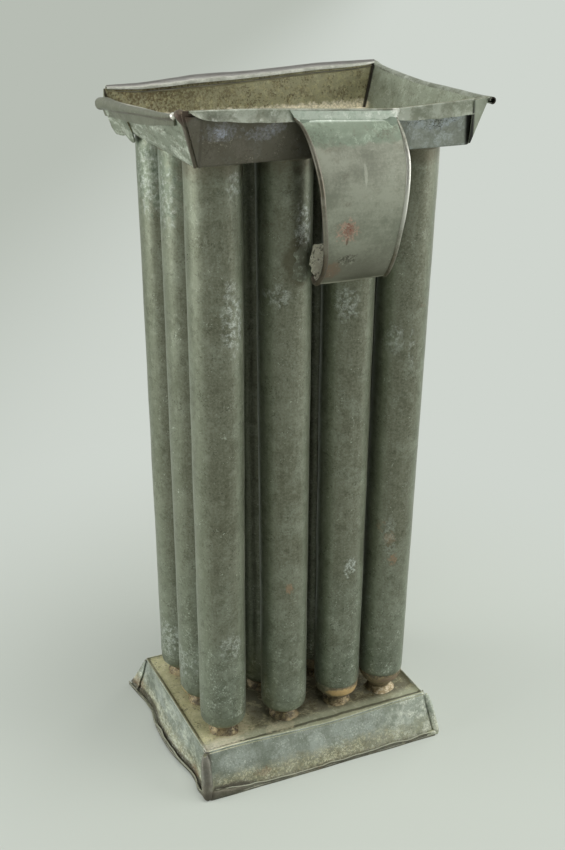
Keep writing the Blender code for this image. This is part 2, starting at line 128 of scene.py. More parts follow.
# %% [markdown]
# ## Sums with shader sockets
#
# A finish is a sum of masks: where the tin is bare, where it has dulled, where it rusts. In
# the node editor each plus sign would be a Math node. This small class wraps a socket, so
# that the sum can be written as a sum, and the Math nodes are made on the way.

# %% A socket that can be added and multiplied


class Value:
    """A number that varies over a surface."""

    def __init__(self, finish, socket):
        self.finish = finish
        self.socket = socket

    def math(self, operation, *terms, clamp=False):
        settings = {"operation": operation, "use_clamp": clamp}
        return self.finish.node("ShaderNodeMath", settings, dict(enumerate(terms)))

    def __add__(self, other):
        return self.math("ADD", self, other)

    def __sub__(self, other):
        return self.math("SUBTRACT", self, other)

    def __rsub__(self, other):
        return self.math("SUBTRACT", other, self)

    def __mul__(self, other):
        return self.math("MULTIPLY", self, other)

    __radd__ = __add__
    __rmul__ = __mul__

    def clipped(self):
        return self.math("ADD", self, 0.0, clamp=True)

    def more(self, other):
        return self.math("MAXIMUM", self, other)


# %% [markdown]
# ## A finish and its nodes
#
# Every other node is made by one method. It takes the node's type, then its settings, then
# what goes into its sockets: numbers, colours or links. The other methods name the few node
# groups that all the finishes share, such as a soft step from one value to another.

# %% A finish made of nodes


class Finish:
    """A material, with a short way to build its nodes."""

    def __init__(self, name):
        self.material = bpy.data.materials.new(name)
        self.material.use_nodes = True
        self.tree = self.material.node_tree
        self.shader = self.tree.nodes["Principled BSDF"]
        self.place = self.node("ShaderNodeTexCoord", out="Object")

    def node(self, kind, settings=None, sockets=None, out=0):
        node = self.tree.nodes.new(kind)
        for name, setting in (settings or {}).items():
            setattr(node, name, setting)
        for name, value in (sockets or {}).items():
            self.feed(node.inputs[name], value)
        return Value(self, node.outputs[out])

    def feed(self, socket, value):
        if isinstance(value, Value):
            self.tree.links.new(value.socket, socket)
        else:
            socket.default_value = value

    def noise(self, size, detail=3.0, roughness=0.55, stretch=(1, 1, 1), warp=0.0, seed=0):
        """Cloudy noise from 0 to 1, whose blots are about size millimetres across."""
        scale = [1 / (MM * size * s) for s in stretch]
        place = self.node("ShaderNodeMapping", None, {"Vector": self.place, "Scale": scale,
                                                      "Location": (seed * 7.3, seed * 3.1, seed)})
        sockets = {"Vector": place, "Scale": 1.0, "Detail": detail, "Roughness": roughness,
                   "Distortion": warp}
        return self.node("ShaderNodeTexNoise", None, sockets)

    def step(self, value, low, high):
        """0 where the value is below low, 1 above high, and smooth in between."""
        settings = {"interpolation_type": "SMOOTHSTEP"}
        sockets = {"Value": value, "From Min": low, "From Max": high}
        if low > high:
            sockets = {"Value": value, "From Min": high, "From Max": low,
                       "To Min": 1.0, "To Max": 0.0}
        return self.node("ShaderNodeMapRange", settings, sockets)

    def vector(self, operation, *terms, out=0):
        """A sum with whole vectors, such as places and normals."""
        return self.node("ShaderNodeVectorMath", {"operation": operation},
                         dict(enumerate(terms)), out)

    def length(self, vector):
        return self.vector("LENGTH", vector, out="Value")

    def part(self, vector, name):
        return self.node("ShaderNodeSeparateXYZ", None, {0: vector}, name)

    def normal(self):
        return self.node("ShaderNodeTexCoord", out="Normal")

    def axis(self, name):
        """A coordinate on the mould, in millimetres. Z is the height over the floor."""
        shift = MIDDLE_Y if name == "Y" else 0.0
        return self.part(self.place, name) * (1 / MM) - shift

    def past(self, name, low, high, wander=None):
        """A soft step along an axis: 0 before low, and 1 past high."""
        place = self.axis(name)
        return self.step(place + wander if wander else place, low, high)

    def tilt(self):
        """The Z of the surface's normal: 1 on top of things, 0 on upright walls."""
        return self.part(self.normal(), "Z")

    def facing(self, place):
        """Above 0 where the surface faces a place, below 0 where it is turned away."""
        toward = self.vector("SUBTRACT", metres(place), self.place)
        return self.vector("DOT_PRODUCT", toward, self.normal(), out="Value") * (1 / MM)

    def away(self, place, squeeze=(1, 1, 1)):
        """The distance in millimetres from a place on the mould. squeeze divides each axis."""
        moved = self.vector("SUBTRACT", self.place, metres(place))
        return self.length(self.vector("MULTIPLY", moved, [1 / (MM * s) for s in squeeze]))

    def beside(self, start, end):
        """The distance in millimetres from the straight line through two places."""
        way = (metres(end) - metres(start)).normalized()
        moved = self.vector("SUBTRACT", self.place, metres(start))
        return self.length(self.vector("CROSS_PRODUCT", moved, way)) * (1 / MM)

    def patch(self, place, radius, squeeze=(1, 1, 1), ragged=0.5, size=3.0, seed=0):
        """1 in a ragged patch round a place on the mould, and 0 outside it."""
        rough = (self.noise(size, 4, 0.65, seed=seed) - 0.5) * (2 * ragged * radius)
        return self.step(self.away(place, squeeze) + rough, radius, radius * 0.6)

    def blend(self, mask, first, second):
        """The first colour where the mask is 0, and the second where it is 1."""
        settings = {"data_type": "RGBA", "clamp_factor": True}
        sockets = {0: mask, 6: colour(first), 7: colour(second)}
        return self.node("ShaderNodeMix", settings, sockets, out=2)

    def fade(self, mask, first, second):
        """A number that goes from first to second with the mask."""
        return self.node("ShaderNodeMix", {"clamp_factor": True}, {0: mask, 2: first, 3: second})

    def bump(self, height, depth):
        """Tilts the surface as if height, from 0 to 1, were that many millimetres deep."""
        return self.node("ShaderNodeBump", None, {"Height": height, "Distance": depth * MM})

    def set(self, **sockets):
        """Sets the shader's own sockets. base_color stands for Base Color."""
        for name, value in sockets.items():
            title = name.replace("_", " ").title().replace("Ior", "IOR")
            self.feed(self.shader.inputs[title], value)


def colour(value):
    """A link as it is, or a colour of 0 to 255 as a screen shows it, in the shader's numbers."""
    if isinstance(value, Value):
        return value
    linear = [((c / 255 + 0.055) / 1.055) ** 2.4 for c in value]
    return (*linear, 1.0)


print("the finishes are built from", Finish.__name__, "and", Value.__name__)

# %% [markdown]
# ## The floor and the light
#
# The mould stands on a pale floor in a studio. Near it the floor is mostly matt paint that
# takes shadows. Further off it shows a plain colour of its own more and more, so that the
# shadow stays soft and no horizon cuts the picture. That colour is a little darker at the
# far left, as painted shade, and the metal shows it too.

# %% Floor
FLOOR_HALF = 6000.0
FLOOR_PAINT = (199, 205, 194)
FAR_PAINT = (207, 213, 206)
FAR_LEFT_PAINT = (183, 189, 180)
PAINT_REACH = (60.0, 300.0)
LEFT_REACH = (120.0, 480.0)
NEAR_GLOW = 0.3

floor_mesh = bpy.data.meshes.new("floor")
corners = [(-1, -1), (1, -1), (1, 1), (-1, 1)]
floor_mesh.from_pydata([(x * FLOOR_HALF * MM, y * FLOOR_HALF * MM, 0) for x, y in corners],
                       [], [(0, 1, 2, 3)])
floor = bpy.data.objects.new("floor", floor_mesh)
bpy.context.scene.collection.objects.link(floor)

paint = Finish("floor_paint")
paint.set(base_color=colour(FLOOR_PAINT), roughness=0.9, specular_ior_level=0.1)
leftward = paint.axis("Y") * 0.55 - paint.axis("X") * 0.85
# The far colour darkens towards the left: painted shade on the backdrop.
far_paint = paint.blend(paint.step(leftward, *LEFT_REACH), FAR_PAINT, FAR_LEFT_PAINT)
glow = paint.node("ShaderNodeEmission", None, {"Color": far_paint, "Strength": 1.0})
camera_ray = paint.node("ShaderNodeLightPath", out="Is Camera Ray")
glossy_ray = paint.node("ShaderNodeLightPath", out="Is Glossy Ray")
glowing = NEAR_GLOW + paint.step(paint.away((0, 0, 0)), *PAINT_REACH) * (1 - NEAR_GLOW)
far = glowing * camera_ray.more(glossy_ray)
shown = paint.node("ShaderNodeMixShader", None,
                   {0: far, 1: Value(paint, paint.shader.outputs[0]), 2: glow})
output = paint.tree.nodes["Material Output"]
paint.feed(output.inputs["Surface"], shown)
floor.data.materials.append(paint.material)
print("floor", 2 * FLOOR_HALF / 1000, "m wide")

# %% [markdown]
# Big soft lamps stand round the mould: one at the left and a little behind, one at the right
# and well in front, and one above. The two side lamps draw a pale band down each side of
# every tube and leave its middle dull, and a faint one behind at the right edges them. The
# world fills the shadows. Beyond the floor's edge it is seen in the floor's own colour.
# Behind the mould it stands for a pale backdrop, which only the gloss of the metal shows.

# %% Lamps
LAMPS = {
    "lamp_left": ((-1150, 260, 330), (0, 0, 130), 900, 11.0),
    "lamp_right": ((1060, -560, 420), (0, 0, 130), 1250, 11.0),
    "lamp_above": ((100, -450, 1400), (0, 0, 120), 1000, 11.0),
    "lamp_behind": ((950, 480, 320), (0, 0, 140), 500, 3.0),
}
WORLD_PAINT = (206, 210, 204)
WORLD_STRENGTH = 0.23
BACKDROP_GLOW = 0.9
BACKDROP_FROM = (-0.1, 0.5)

for name, (place, target, width, watts) in LAMPS.items():
    lamp = bpy.data.objects.new(name, bpy.data.lights.new(name, "AREA"))
    lamp.data.shape = "DISK"
    lamp.data.size = width * MM
    lamp.data.energy = watts
    lamp.location = metres(place)
    aim = metres(target) - lamp.location
    lamp.rotation_euler = aim.to_track_quat("-Z", "Y").to_euler()
    bpy.context.scene.collection.objects.link(lamp)


class Studio(Finish):
    """The world, built from nodes in the same way as a finish."""

    def __init__(self, name):
        world = bpy.data.worlds.new(name)
        world.use_nodes = True
        bpy.context.scene.world = world
        self.tree = world.node_tree
        self.shader = self.tree.nodes["Background"]
        self.place = self.node("ShaderNodeTexCoord", out="Generated")


studio = Studio("studio")
rearward = studio.part(studio.place, "Y")
gloss_only = studio.node("ShaderNodeLightPath", out="Is Glossy Ray")
seen = studio.node("ShaderNodeLightPath", out="Is Camera Ray")
backdrop = studio.step(rearward, *BACKDROP_FROM) * gloss_only
studio.set(color=colour(WORLD_PAINT),
           strength=backdrop * BACKDROP_GLOW + seen * (1 - WORLD_STRENGTH) + WORLD_STRENGTH)
print("lamps:", ", ".join(LAMPS))

# %% [markdown]
# ## Helpers for sheet metal
#
# Most pieces here are lofts: a row of rings, joined by faces. A ring goes round a tube or
# round the section of a folded edge, and the row of rings follows the piece. Everything is
# written straight into meshes, because hand-hammered sheet is easier to describe by sums
# than by stacking modifiers.

# %% Lofts and pieces


def loft(rings, capped=False):
    """Points and faces over a row of closed rings. capped closes the two ends as well."""
    count = len(rings[0])
    points = [point for ring in rings for point in ring]
    faces = []
    for low in range(0, len(points) - count, count):
        high = low + count
        for i in range(count):
            j = (i + 1) % count
            faces.append((low + i, low + j, high + j, high + i))
    if capped:
        faces += [tuple(range(count)), tuple(range(len(points) - count, len(points)))]
    return points, faces


def inside_cad(point):
    """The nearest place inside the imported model's box, so that nothing stands out of it."""
    return [min(max(c, low), high) for c, low, high in zip(point, cad_low, cad_high)]


def build(name, lofts, sharp=40):
    """One object from several lofts, with its faces turned outward and shaded smooth."""
    points, faces = [], []
    for more_points, more_faces in lofts:
        start = len(points)
        points += [inside_cad(metres(point)) for point in more_points]
        faces += [tuple(start + i for i in face) for face in more_faces]
    mesh = bpy.data.meshes.new(name)
    mesh.from_pydata(points, [], faces)
    bm = bmesh.new()
    bm.from_mesh(mesh)
    bmesh.ops.recalc_face_normals(bm, faces=bm.faces)
    bm.to_mesh(mesh)
    bm.free()
    mesh.shade_smooth()
    mesh.set_sharp_from_angle(angle=math.radians(sharp))
    piece = bpy.data.objects.new(name, mesh)
    bpy.context.scene.collection.objects.link(piece)
    return piece


def dress(piece, finish, slot, *nodes):
    """Gives a piece its finish, hangs it on the mould's body and hides the CAD nodes it replaces.
    slot is not used.
    """
    piece.data.materials.append(finish.material)
    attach(piece, "root")
    if nodes:
        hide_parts(*nodes)
    return piece


print("helpers:", loft.__name__, build.__name__, dress.__name__)

# %% [markdown]
# Hand-worked metal is never quite straight. Three small functions give that: a smooth curve
# through measured knots, for wavy edges, a soft bump for dents, and noise that is the same
# in every run. The five after them are sums that come back often: a share of the way, equal
# steps, a ring of points, a place at an angle, and a blunt end.

# %% Curves, dents and wobble


def through(*knots):
    """A smooth curve through knots of (place, height), level beyond its ends."""
    places = [place for place, _ in knots]
    heights = [height for _, height in knots]
    last = len(knots) - 1

    def slope(i):
        before, after = max(i - 1, 0), min(i + 1, last)
        return (heights[after] - heights[before]) / (places[after] - places[before])

    def height(place):
        place = min(max(place, places[0]), places[-1])
        i = 0
        while i < last - 1 and place > places[i + 1]:
            i += 1
        width = places[i + 1] - places[i]
        t = (place - places[i]) / width
        rise = heights[i + 1] - heights[i]
        start = slope(i) * width
        end = slope(i + 1) * width
        return heights[i] + t * (start + t * (3 * rise - 2 * start - end)
                                 + t * t * (start + end - 2 * rise))

    return height


def swell(distance, radius):
    """1 at the middle of a dent or bulge, falling smoothly to 0 at its radius."""
    t = max(0.0, 1 - distance / radius)
    return t * t * (3 - 2 * t)


def wobble(place, size, seed=0.0):
    """Smooth noise from about -1 to 1, whose waves are about size millimetres long."""
    x, y, z = place
    return noise.noise(Vector((x / size + seed * 3.7, y / size - seed, z / size + seed * 1.3)))


def mix(start, end, t):
    """The number a share t of the way from start to end."""
    return start + (end - start) * t


def evenly(start, end, count):
    """Numbers from start to end in equal steps, both ends included."""
    return [start + (end - start) * i / (count - 1) for i in range(count)]


def all_round(count, point):
    """A ring of points: point(angle) at angles in equal steps round a circle."""
    return [point(2 * math.pi * k / count) for k in range(count)]


def polar(x, y, reach, angle):
    """The X and Y at a distance and an angle from a middle."""
    return x + reach * math.cos(angle), y + reach * math.sin(angle)


def rounding(t, start, span, least):
    """1 up to start, and then falling like the end of a ball."""
    return math.sqrt(max(1 - max(t - start, 0) ** 2 / span, least))


print("a knot curve at its middle:", through((0, 0), (1, 2), (2, 0))(1))

# %% [markdown]
# ## A folded pan
#
# The tray and the base are both pans: a flat sheet whose four sides are folded up, or down,
# and flare a little. One class describes both, by their size at the crease and at the free
# edge. Its share runs from 0 at the crease to 1 at the free edge. Each side's place runs
# along X on the long sides and along Y on the short ones.

# %% Pans
FRONT, RIGHT, BACK, LEFT = range(4)
OUTWARD = ((0, -1), (1, 0), (0, 1), (-1, 0))
ALONG = ((1, 0), (0, 1), (-1, 0), (0, -1))
SIDE_STEPS = (56, 40)
ARC_STEPS = 4


class Pan:
    """The shape of a folded pan, before its sheet has any thickness."""

    def __init__(self, crease, edge, crease_z, edge_z, radii, bulge):
        self.crease = crease
        self.edge = edge
        self.crease_z = crease_z
        self.edge_z = edge_z
        self.radii = radii
        self.bulge = bulge

    def half(self, share):
        return [mix(a, b, share) / 2 for a, b in zip(self.crease, self.edge)]

    def spot(self, side, place, share, out=0.0):
        """A point on one side, out millimetres off its outer face."""
        half_x, half_y = self.half(share)
        away = out + self.bulge(side, place, share)
        nx, ny = OUTWARD[side]
        x = nx * (half_x + away) if nx else place
        y = ny * (half_y + away) if ny else place
        low = self.crease_z(x, y)
        return x, y, mix(low, self.edge_z[side](place), share)

    def ring(self, share, out=0.0, lift=0.0):
        """Points right round the pan at one share of its height."""
        half = self.half(share)
        ring = []
        for side in range(4):
            axis = side % 2
            reach = half[axis]
            start, end = self.radii[side], self.radii[(side + 1) % 4]
            steps = SIDE_STEPS[axis]
            sign = sum(ALONG[side])
            for i in range(steps + 1):
                step = -reach + start + (2 * reach - start - end) * i / steps
                x, y, z = self.spot(side, sign * step, share, out)
                ring.append((x, y, z + lift))
            ring += self.corner(side, share, out, lift)
        return ring

    def corner(self, side, share, out, lift):
        """The points of the rounded corner at the end of a side."""
        half_x, half_y = self.half(share)
        following = (side + 1) % 4
        radius = self.radii[following]
        (ax, ay), (bx, by) = OUTWARD[side], OUTWARD[following]
        middle_x = (ax + bx) * (half_x - radius)
        middle_y = (ay + by) * (half_y - radius)
        points = []
        for i in range(1, ARC_STEPS + 1):
            angle = math.pi / 2 * i / (ARC_STEPS + 1)
            nx = ax * math.cos(angle) + bx * math.sin(angle)
            ny = ay * math.cos(angle) + by * math.sin(angle)
            x, y = middle_x + nx * (radius + out), middle_y + ny * (radius + out)
            near = side if 2 * i <= ARC_STEPS else following
            place = x if near % 2 == 0 else y
            low = self.crease_z(x, y)
            points.append((x, y, mix(low, self.edge_z[near](place), share) + lift))
        return points


def flat_ring(pan, inset, z_of):
    """A ring on the pan's flat sheet, inset from its crease."""
    shrunk = Pan([c - 2 * inset for c in pan.crease], pan.edge, z_of, pan.edge_z,
                 [max(r - inset, 0.3) for r in pan.radii], lambda *_: 0.0)
    return shrunk.ring(0.0)


def slab(rows, steps, thick, point):
    """A thin body: each row's face and then its back. point(row, t, raised) gives one point,
    raised by thick on the face and by nothing on the back."""
    ahead = evenly(0.0, 1.0, steps + 1)
    return loft([[point(row, t, thick) for t in ahead]
                 + [point(row, t, 0.0) for t in reversed(ahead)] for row in rows], capped=True)


def plate_on(pan, side, places, shares, outs, thick=0.55):
    """A thin plate lying on a pan's side: a hem, a flap or a band.

    shares and outs are functions of the place and of t, which is 0 at the plate's low edge
    and 1 at its high edge.
    """
    return slab(places, 4, thick, lambda place, t, raised: pan.spot(
        side, place, shares(place, t), outs(place, t) + raised))


def swept(pan, side, places, section, out=0.0):
    """A body along a side's free edge. section(place, spot) gives its (out, height) points."""
    nx, ny = OUTWARD[side]
    rings = []
    for place in places:
        x, y, z = pan.spot(side, place, 1.0, out)
        rings.append([(x + nx * off, y + ny * off, high)
                      for off, high in section(place, (x, y, z))])
    return loft(rings, capped=True)


print("sides:", FRONT, RIGHT, BACK, LEFT)

# %% [markdown]
# ## The tray's shape
#
# The tray was one sheet, folded up at four creases. Years of handling have bent it: its rim
# sags in the middle of the front, drops towards the back left corner, and the floor's back
# left corner is bent down. Each rim is a curve through heights that were measured along it.

# %% The tray as a pan
SHEET = 0.6
TRAY_FLOOR = 257.0
TRAY_CREASE = (107.2, 81.7)
TRAY_RIM = (117.0, 86.1)
TRAY_RADII = (0.9, 2.4, 1.2, 1.6)
ROLL_RADIUS = 1.3
LEFT_ROLL = through((-38, 1.15), (-16, 1.3), (5, 1.6), (27, 2.05), (38, 2.3), (45, 2.35))
BACK_ROLL = through((-58, 1.2), (-50, 1.8), (-43, 2.1), (-30, 2.6), (-18, 2.9), (-8, 2.75),
                    (4, 2.5), (18, 2.4), (40, 2.35), (52, 1.9), (59, 1.3))

FRONT_RIM = through((-58.7, 276.2), (-55.7, 276.1), (-47, 275.9), (-34.7, 275.5), (-16.5, 274.4),
                    (-2.2, 273.5), (9.7, 272.8), (20.7, 272.3), (38.5, 273.1), (50.5, 273.7),
                    (59.1, 274.2))
RIGHT_RIM = through((-43, 274.2), (-33, 273.7), (-13, 273.4), (3, 273.0), (20, 273.6),
                    (38, 274.6), (43, 275.8))
BACK_RIM = through((-58, 272.0), (-49, 272.2), (-43, 272.2), (-33.5, 273.0), (-19.7, 274.3),
                   (-2.7, 274.5), (8.8, 274.9), (24.6, 275.7), (35.3, 276.2), (59.6, 276.3))
LEFT_RIM = through((-43, 275.9), (-36.8, 275.1), (-32.2, 273.8), (-24.6, 272.9), (-13.6, 272.0),
                   (-2.1, 271.1), (9.9, 270.0), (26.4, 268.8), (37.7, 268.4), (44.6, 267.3))

BENT_CORNER = (-TRAY_CREASE[0] / 2, TRAY_CREASE[1] / 2)
BENT_CORNER_DROP = 2.6
BENT_CORNER_REACH = 11.0
BACK_ROLL_SINK = 1.1


def tray_floor(x, y):
    """The floor's height: level, but for the corner that is bent down."""
    away = math.hypot(x - BENT_CORNER[0], y - BENT_CORNER[1])
    return TRAY_FLOOR - BENT_CORNER_DROP * swell(away, BENT_CORNER_REACH)


def tray_bulge(side, place, share):
    """Small waves in the tray's walls, none at the crease."""
    wave = wobble((place, side * 40.0, share * 12), 19) * 0.45
    fine = wobble((place, side * 40.0, share * 12), 6, 3) * 0.12
    return (wave + fine) * min(1.0, share * 2.5)


def roll_radius(side, place):
    if side == LEFT:
        return LEFT_ROLL(place)
    return BACK_ROLL(place) if side == BACK else ROLL_RADIUS


def under_roll(side, rim):
    """The height where a wall ends and its rolled edge takes over, at the roll's middle."""
    sink = BACK_ROLL_SINK if side == BACK else 1.0
    return lambda place: rim(place) - roll_radius(side, place) * sink


WALL_ENDS = (FRONT_RIM, under_roll(RIGHT, RIGHT_RIM), under_roll(BACK, BACK_RIM),
             under_roll(LEFT, LEFT_RIM))
tray = Pan(TRAY_CREASE, TRAY_RIM, tray_floor, WALL_ENDS, TRAY_RADII, tray_bulge)
print("tray floor at", TRAY_FLOOR, "mm; rim from", round(LEFT_RIM(43), 1), "to",
      round(FRONT_RIM(-58), 1), "mm")

# %% [markdown]
# ## The tubes' places
#
# The tubes stand in three rows of four. They lean together a little towards the foot, and
# each column was set by hand, so none is quite where a ruler would put it. The tray, the
# base, the tubes and the solder all take their places from here.

# %% Places of the tubes
TOP_PITCH = (26.3, 25.0)
FOOT_PITCH = (24.8, 23.6)
TOP_WANDER = (-1.4, -0.5, 0.1, -1.4)
FOOT_WANDER = (-0.9, 2.1, 2.5, -0.9)
ROWS = ("front", "middle", "back")
TUBE_FOOT = 27.5
TUBE_TOP_RADIUS = 10.5
TUBE_FOOT_RADIUS = 9.5
LAP = 0.4


def grid_place(column, row, pitch, wander):
    return (column - 1.5) * pitch[0] + wander[column], (row - 1) * pitch[1]


def tube_share(z):
    """0 at the tubes' foot and 1 at the tray's floor."""
    return (z - TUBE_FOOT) / (TRAY_FLOOR - TUBE_FOOT)


def tube_middle(column, row, z):
    foot = grid_place(column, row, FOOT_PITCH, FOOT_WANDER)
    top = grid_place(column, row, TOP_PITCH, TOP_WANDER)
    t = tube_share(z)
    return mix(foot[0], top[0], t), mix(foot[1], top[1], t)


def tube_radius(z):
    return mix(TUBE_FOOT_RADIUS, TUBE_TOP_RADIUS, tube_share(z))


TUBES = [(column, row) for row in range(3) for column in range(4)]


def node_name(kind, column, row):
    return f"{kind}_{ROWS[row]}_{column + 1}"


print("tubes:", len(TUBES))

# %% [markdown]
# ## The tray's shell
#
# The shell runs as rings from the underside of the floor, out and up the walls, over the
# edge, down the inside and in over the floor. The twelve holes are cut last, with a
# Boolean, as the tinsmith punched them. A cutter is removed once it has cut.

# %% The tray's shell
TRAY_SHARES = (0.0, 0.04, 0.12, 0.25, 0.4, 0.55, 0.7, 0.85, 0.95, 1.0)
FLOOR_INSETS = (8.0, 5.5, 3.5, 2.0, 1.0, 0.4)
CREASE_STEPS = 4
HOLE_SIDES = 48
HOLE_PLAY = 0.15


def shell_rings(pan, insets, shares, flat_low, flat_high, soft):
    """Rings over the outside of a pan, round its edge and over its inside.

    The outer crease is rounded with the radius soft.
    """
    height = pan.edge_z[FRONT](0) - pan.crease_z(0, 0)
    way = math.copysign(1.0, height)
    rings = [flat_ring(pan, inset, flat_low) for inset in insets if inset > soft]
    for step in range(CREASE_STEPS + 1):
        angle = math.pi / 2 * step / CREASE_STEPS
        lift = way * soft * (1 - math.cos(angle))
        rings.append(pan.ring(0.0, soft * (math.sin(angle) - 1), lift=lift))
    rings += [pan.ring(share) for share in shares if share * abs(height) > soft]
    rings.append(pan.ring(1.0, -SHEET / 2, lift=way * SHEET / 4))
    rings += [pan.ring(share, -SHEET) for share in reversed(shares) if share > 0.03]
    rings += [flat_ring(pan, inset + SHEET, flat_high) for inset in reversed(insets)]
    return rings


def punch(piece, places, radius, low, high):
    """Cuts upright round holes through a piece, and leaves no cutter behind."""
    lofts = []
    for x, y in places:
        rings = [all_round(HOLE_SIDES, lambda turn: (*polar(x, y, radius, turn), z))
                 for z in (low, high)]
        lofts.append(loft(rings, capped=True))
    cutter = build("cutter", lofts)
    cut = piece.modifiers.new("holes", "BOOLEAN")
    cut.object = cutter
    cut.solver = "EXACT"
    graph = bpy.context.evaluated_depsgraph_get()
    mesh = bpy.data.meshes.new_from_object(piece.evaluated_get(graph))
    piece.modifiers.clear()
    piece.data = mesh
    mesh.name = piece.name
    mesh.shade_smooth()
    mesh.set_sharp_from_angle(angle=math.radians(40))
    bpy.data.objects.remove(cutter)


def tray_inside_floor(x, y):
    return tray_floor(x, y) + SHEET


shell = shell_rings(tray, FLOOR_INSETS, TRAY_SHARES, tray_floor, tray_inside_floor, soft=0.75)
tray_shell = build("tray_shell", [loft(shell, capped=True)])
punch(tray_shell, [tube_middle(*place, TRAY_FLOOR) for place in TUBES],
      TUBE_TOP_RADIUS + LAP + HOLE_PLAY, TRAY_FLOOR - 3, TRAY_FLOOR + 4)
print("tray shell:", len(tray_shell.data.polygons), "faces")

# %% [markdown]
# ## Rolled edges
#
# On three sides the tinsmith rolled the tray's edge outward over a rod, which stiffens it
# and takes away the sharp edge. The roll is open at its ends, so it is swept here as a curl
# of sheet and not as a solid rod: its section is most of a ring. The ends of the left roll
# were tapped shut into blunt, rounded noses.

# %% The rolled edges
ROLL_SHEET = 0.45
ROLL_STEPS = 18
ROLL_TURN = 330
NOSE_RINGS, NOSE_SIDES = 8, 16
NOSE_LENGTH = 1.2
NOSE_PROUD = 0.04
NOSE_TIP = 0.05


def curl(radius, thick):
    """The section of a rolled edge, as (out, up) from the outer face of the wall's end."""
    angles = [math.radians(180 - ROLL_TURN * i / ROLL_STEPS) for i in range(ROLL_STEPS + 1)]
    outer = [(radius * math.cos(a), radius * math.sin(a)) for a in angles]
    inner = [((radius - thick) * math.cos(a), (radius - thick) * math.sin(a)) for a in angles]
    return outer + inner[::-1]


def roll_middle(side, radius):
    """How far off the wall a roll's middle is. The thick ones sit nearly on their walls."""
    return {RIGHT: radius - SHEET, BACK: 0.35 * radius}.get(side, 0.15)


def nose_cap(side, place):
    """A rounded plug in the end of a roll, like the nose of a bullet."""
    nx, ny = OUTWARD[side]
    radius = roll_radius(side, place)
    middle = roll_middle(side, radius)
    x, y, z = tray.spot(side, place, 1.0)
    rings = []
    for angle in evenly(0.0, math.pi / 2, NOSE_RINGS):
        forward = NOSE_LENGTH * radius * math.sin(angle) * math.copysign(1.0, place)
        size = max((radius + NOSE_PROUD) * math.cos(angle), NOSE_TIP)

        def point(turn):
            out = middle + size * math.cos(turn)
            return (x + nx * out + abs(ny) * forward, y + ny * out + abs(nx) * forward,
                    z + size * math.sin(turn))

        rings.append(all_round(NOSE_SIDES, point))
    return loft(rings, capped=True)


def build_roll(name, side, start, end, count, noses=()):
    """A curl swept along one side of the tray. Each of noses is an end closed by a blunt cap."""
    def section(place, spot):
        radius = roll_radius(side, place)
        swollen = radius * (1 + 0.05 * wobble(spot, 7, 5))
        middle = roll_middle(side, radius)
        return [(middle + out, spot[2] + up) for out, up in curl(swollen, ROLL_SHEET)]

    lofts = [swept(tray, side, evenly(start, end, count), section)]
    return build(name, lofts + [nose_cap(side, place) for place in noses], sharp=50)


back_roll = build_roll("tray_back_roll", BACK, 58.6, -56.5, 90)
right_roll = build_roll("tray_right_roll", RIGHT, -44.4, 43.6, 70)
left_roll = build_roll("tray_left_roll", LEFT, -35.4, 43.9, 64, noses=(-35.4, 43.9))
print("rolls:", [len(roll.data.polygons) for roll in (back_roll, right_roll, left_roll)], "faces")

# %% [markdown]
# ## The flat hem and the folded corners
#
# Along the front the edge was folded outward and hammered flat, and its lower edge waves
# where the hammer fell. Below each roll there is a narrower flat band. The corners were
# folded like an envelope: the spare sheet makes a triangular flap, and the thick corner at
# the front left stands up in a rounded peak. At the back left the sheet has torn, and an
# ear of it hangs down. All these are thin plates laid on the pan's sides, rather than a
# thickened wall, so that they follow its bends and still stand off where they are loose.

# %% The hem, the band and the flaps
FRONT_HEM = through((-56.3, 275.8), (-53.9, 274.2), (-50.5, 272.9), (-44, 272.2), (-38.5, 271.7),
                    (-26.3, 270.7), (-19.7, 270.3), (-8, 269.5), (8, 268.9), (21.1, 268.3),
                    (25.8, 267.8), (38.9, 267.9), (51, 268.4), (59, 268.9))
PEAK_HEIGHT = 19.35
PEAK_FOOT, PEAK_SWELL = 0.45, 1.9
FOLD_RADIUS = 0.62
FLAP_INSET = 0.5
FLAP_SHEET = 0.5
LEFT_BAND = through((-42, 271.6), (-37.9, 270.9), (-16.4, 267.2), (0.3, 264.6), (13.5, 263.0),
                    (27.3, 261.9), (41.5, 260.3))


def tray_share(side, place, z):
    """The share of the wall's height at which a place on one side is at height z."""
    low = tray_floor(*tray.spot(side, place, 0.0)[:2])
    return (z - low) / (tray.edge_z[side](place) - low)


def front_stand(place):
    """The front hem stands off most near its left end, where it throws a dark shadow."""
    return 0.4 + 0.9 * swell(abs(place + 36), 26)


def flat_stand(place):
    return 0.35


def tray_band(side, start, end, count, lower, top_gap=0.03, stand=flat_stand, wave=0.1, thick=0.5):
    """A hem or a band lying on one side of the tray, from its lower edge to near the rim."""
    def shares(place, t):
        low = tray_share(side, place, lower(place) + 0.25 * wobble((place, 0, 0), 4, 9))
        return mix(low, 1.0 - top_gap, t)

    def outs(place, t):
        return 0.1 + stand(place) * (1 - t) ** 2 + wave * wobble((place, t * 4, side), 9, 2)

    return plate_on(tray, side, evenly(start, end, count), shares, outs, thick)


BANDS = [
    tray_band(FRONT, -56.0, 52.2, 106, FRONT_HEM, 0.012, front_stand, 0.12, 0.7),
    tray_band(LEFT, -36.4, 43.5, 70, LEFT_BAND, wave=0.15, thick=0.7),
    tray_band(RIGHT, -40.0, 42.5, 60, lambda y: RIGHT_RIM(y) - 5.2),
    tray_band(BACK, -54.5, 58.0, 80, lambda x: BACK_RIM(x) - 7.0),
]


def hem_fold():
    """The rounded fold along the top of the tray's flat front hem."""
    return swept(tray, FRONT, evenly(-56.2, 58.7, 100), lambda place, spot: all_round(
        12, lambda turn: (0.05 + FOLD_RADIUS * math.cos(turn),
                          spot[2] + FOLD_RADIUS * (0.8 * math.sin(turn) - 0.55))))


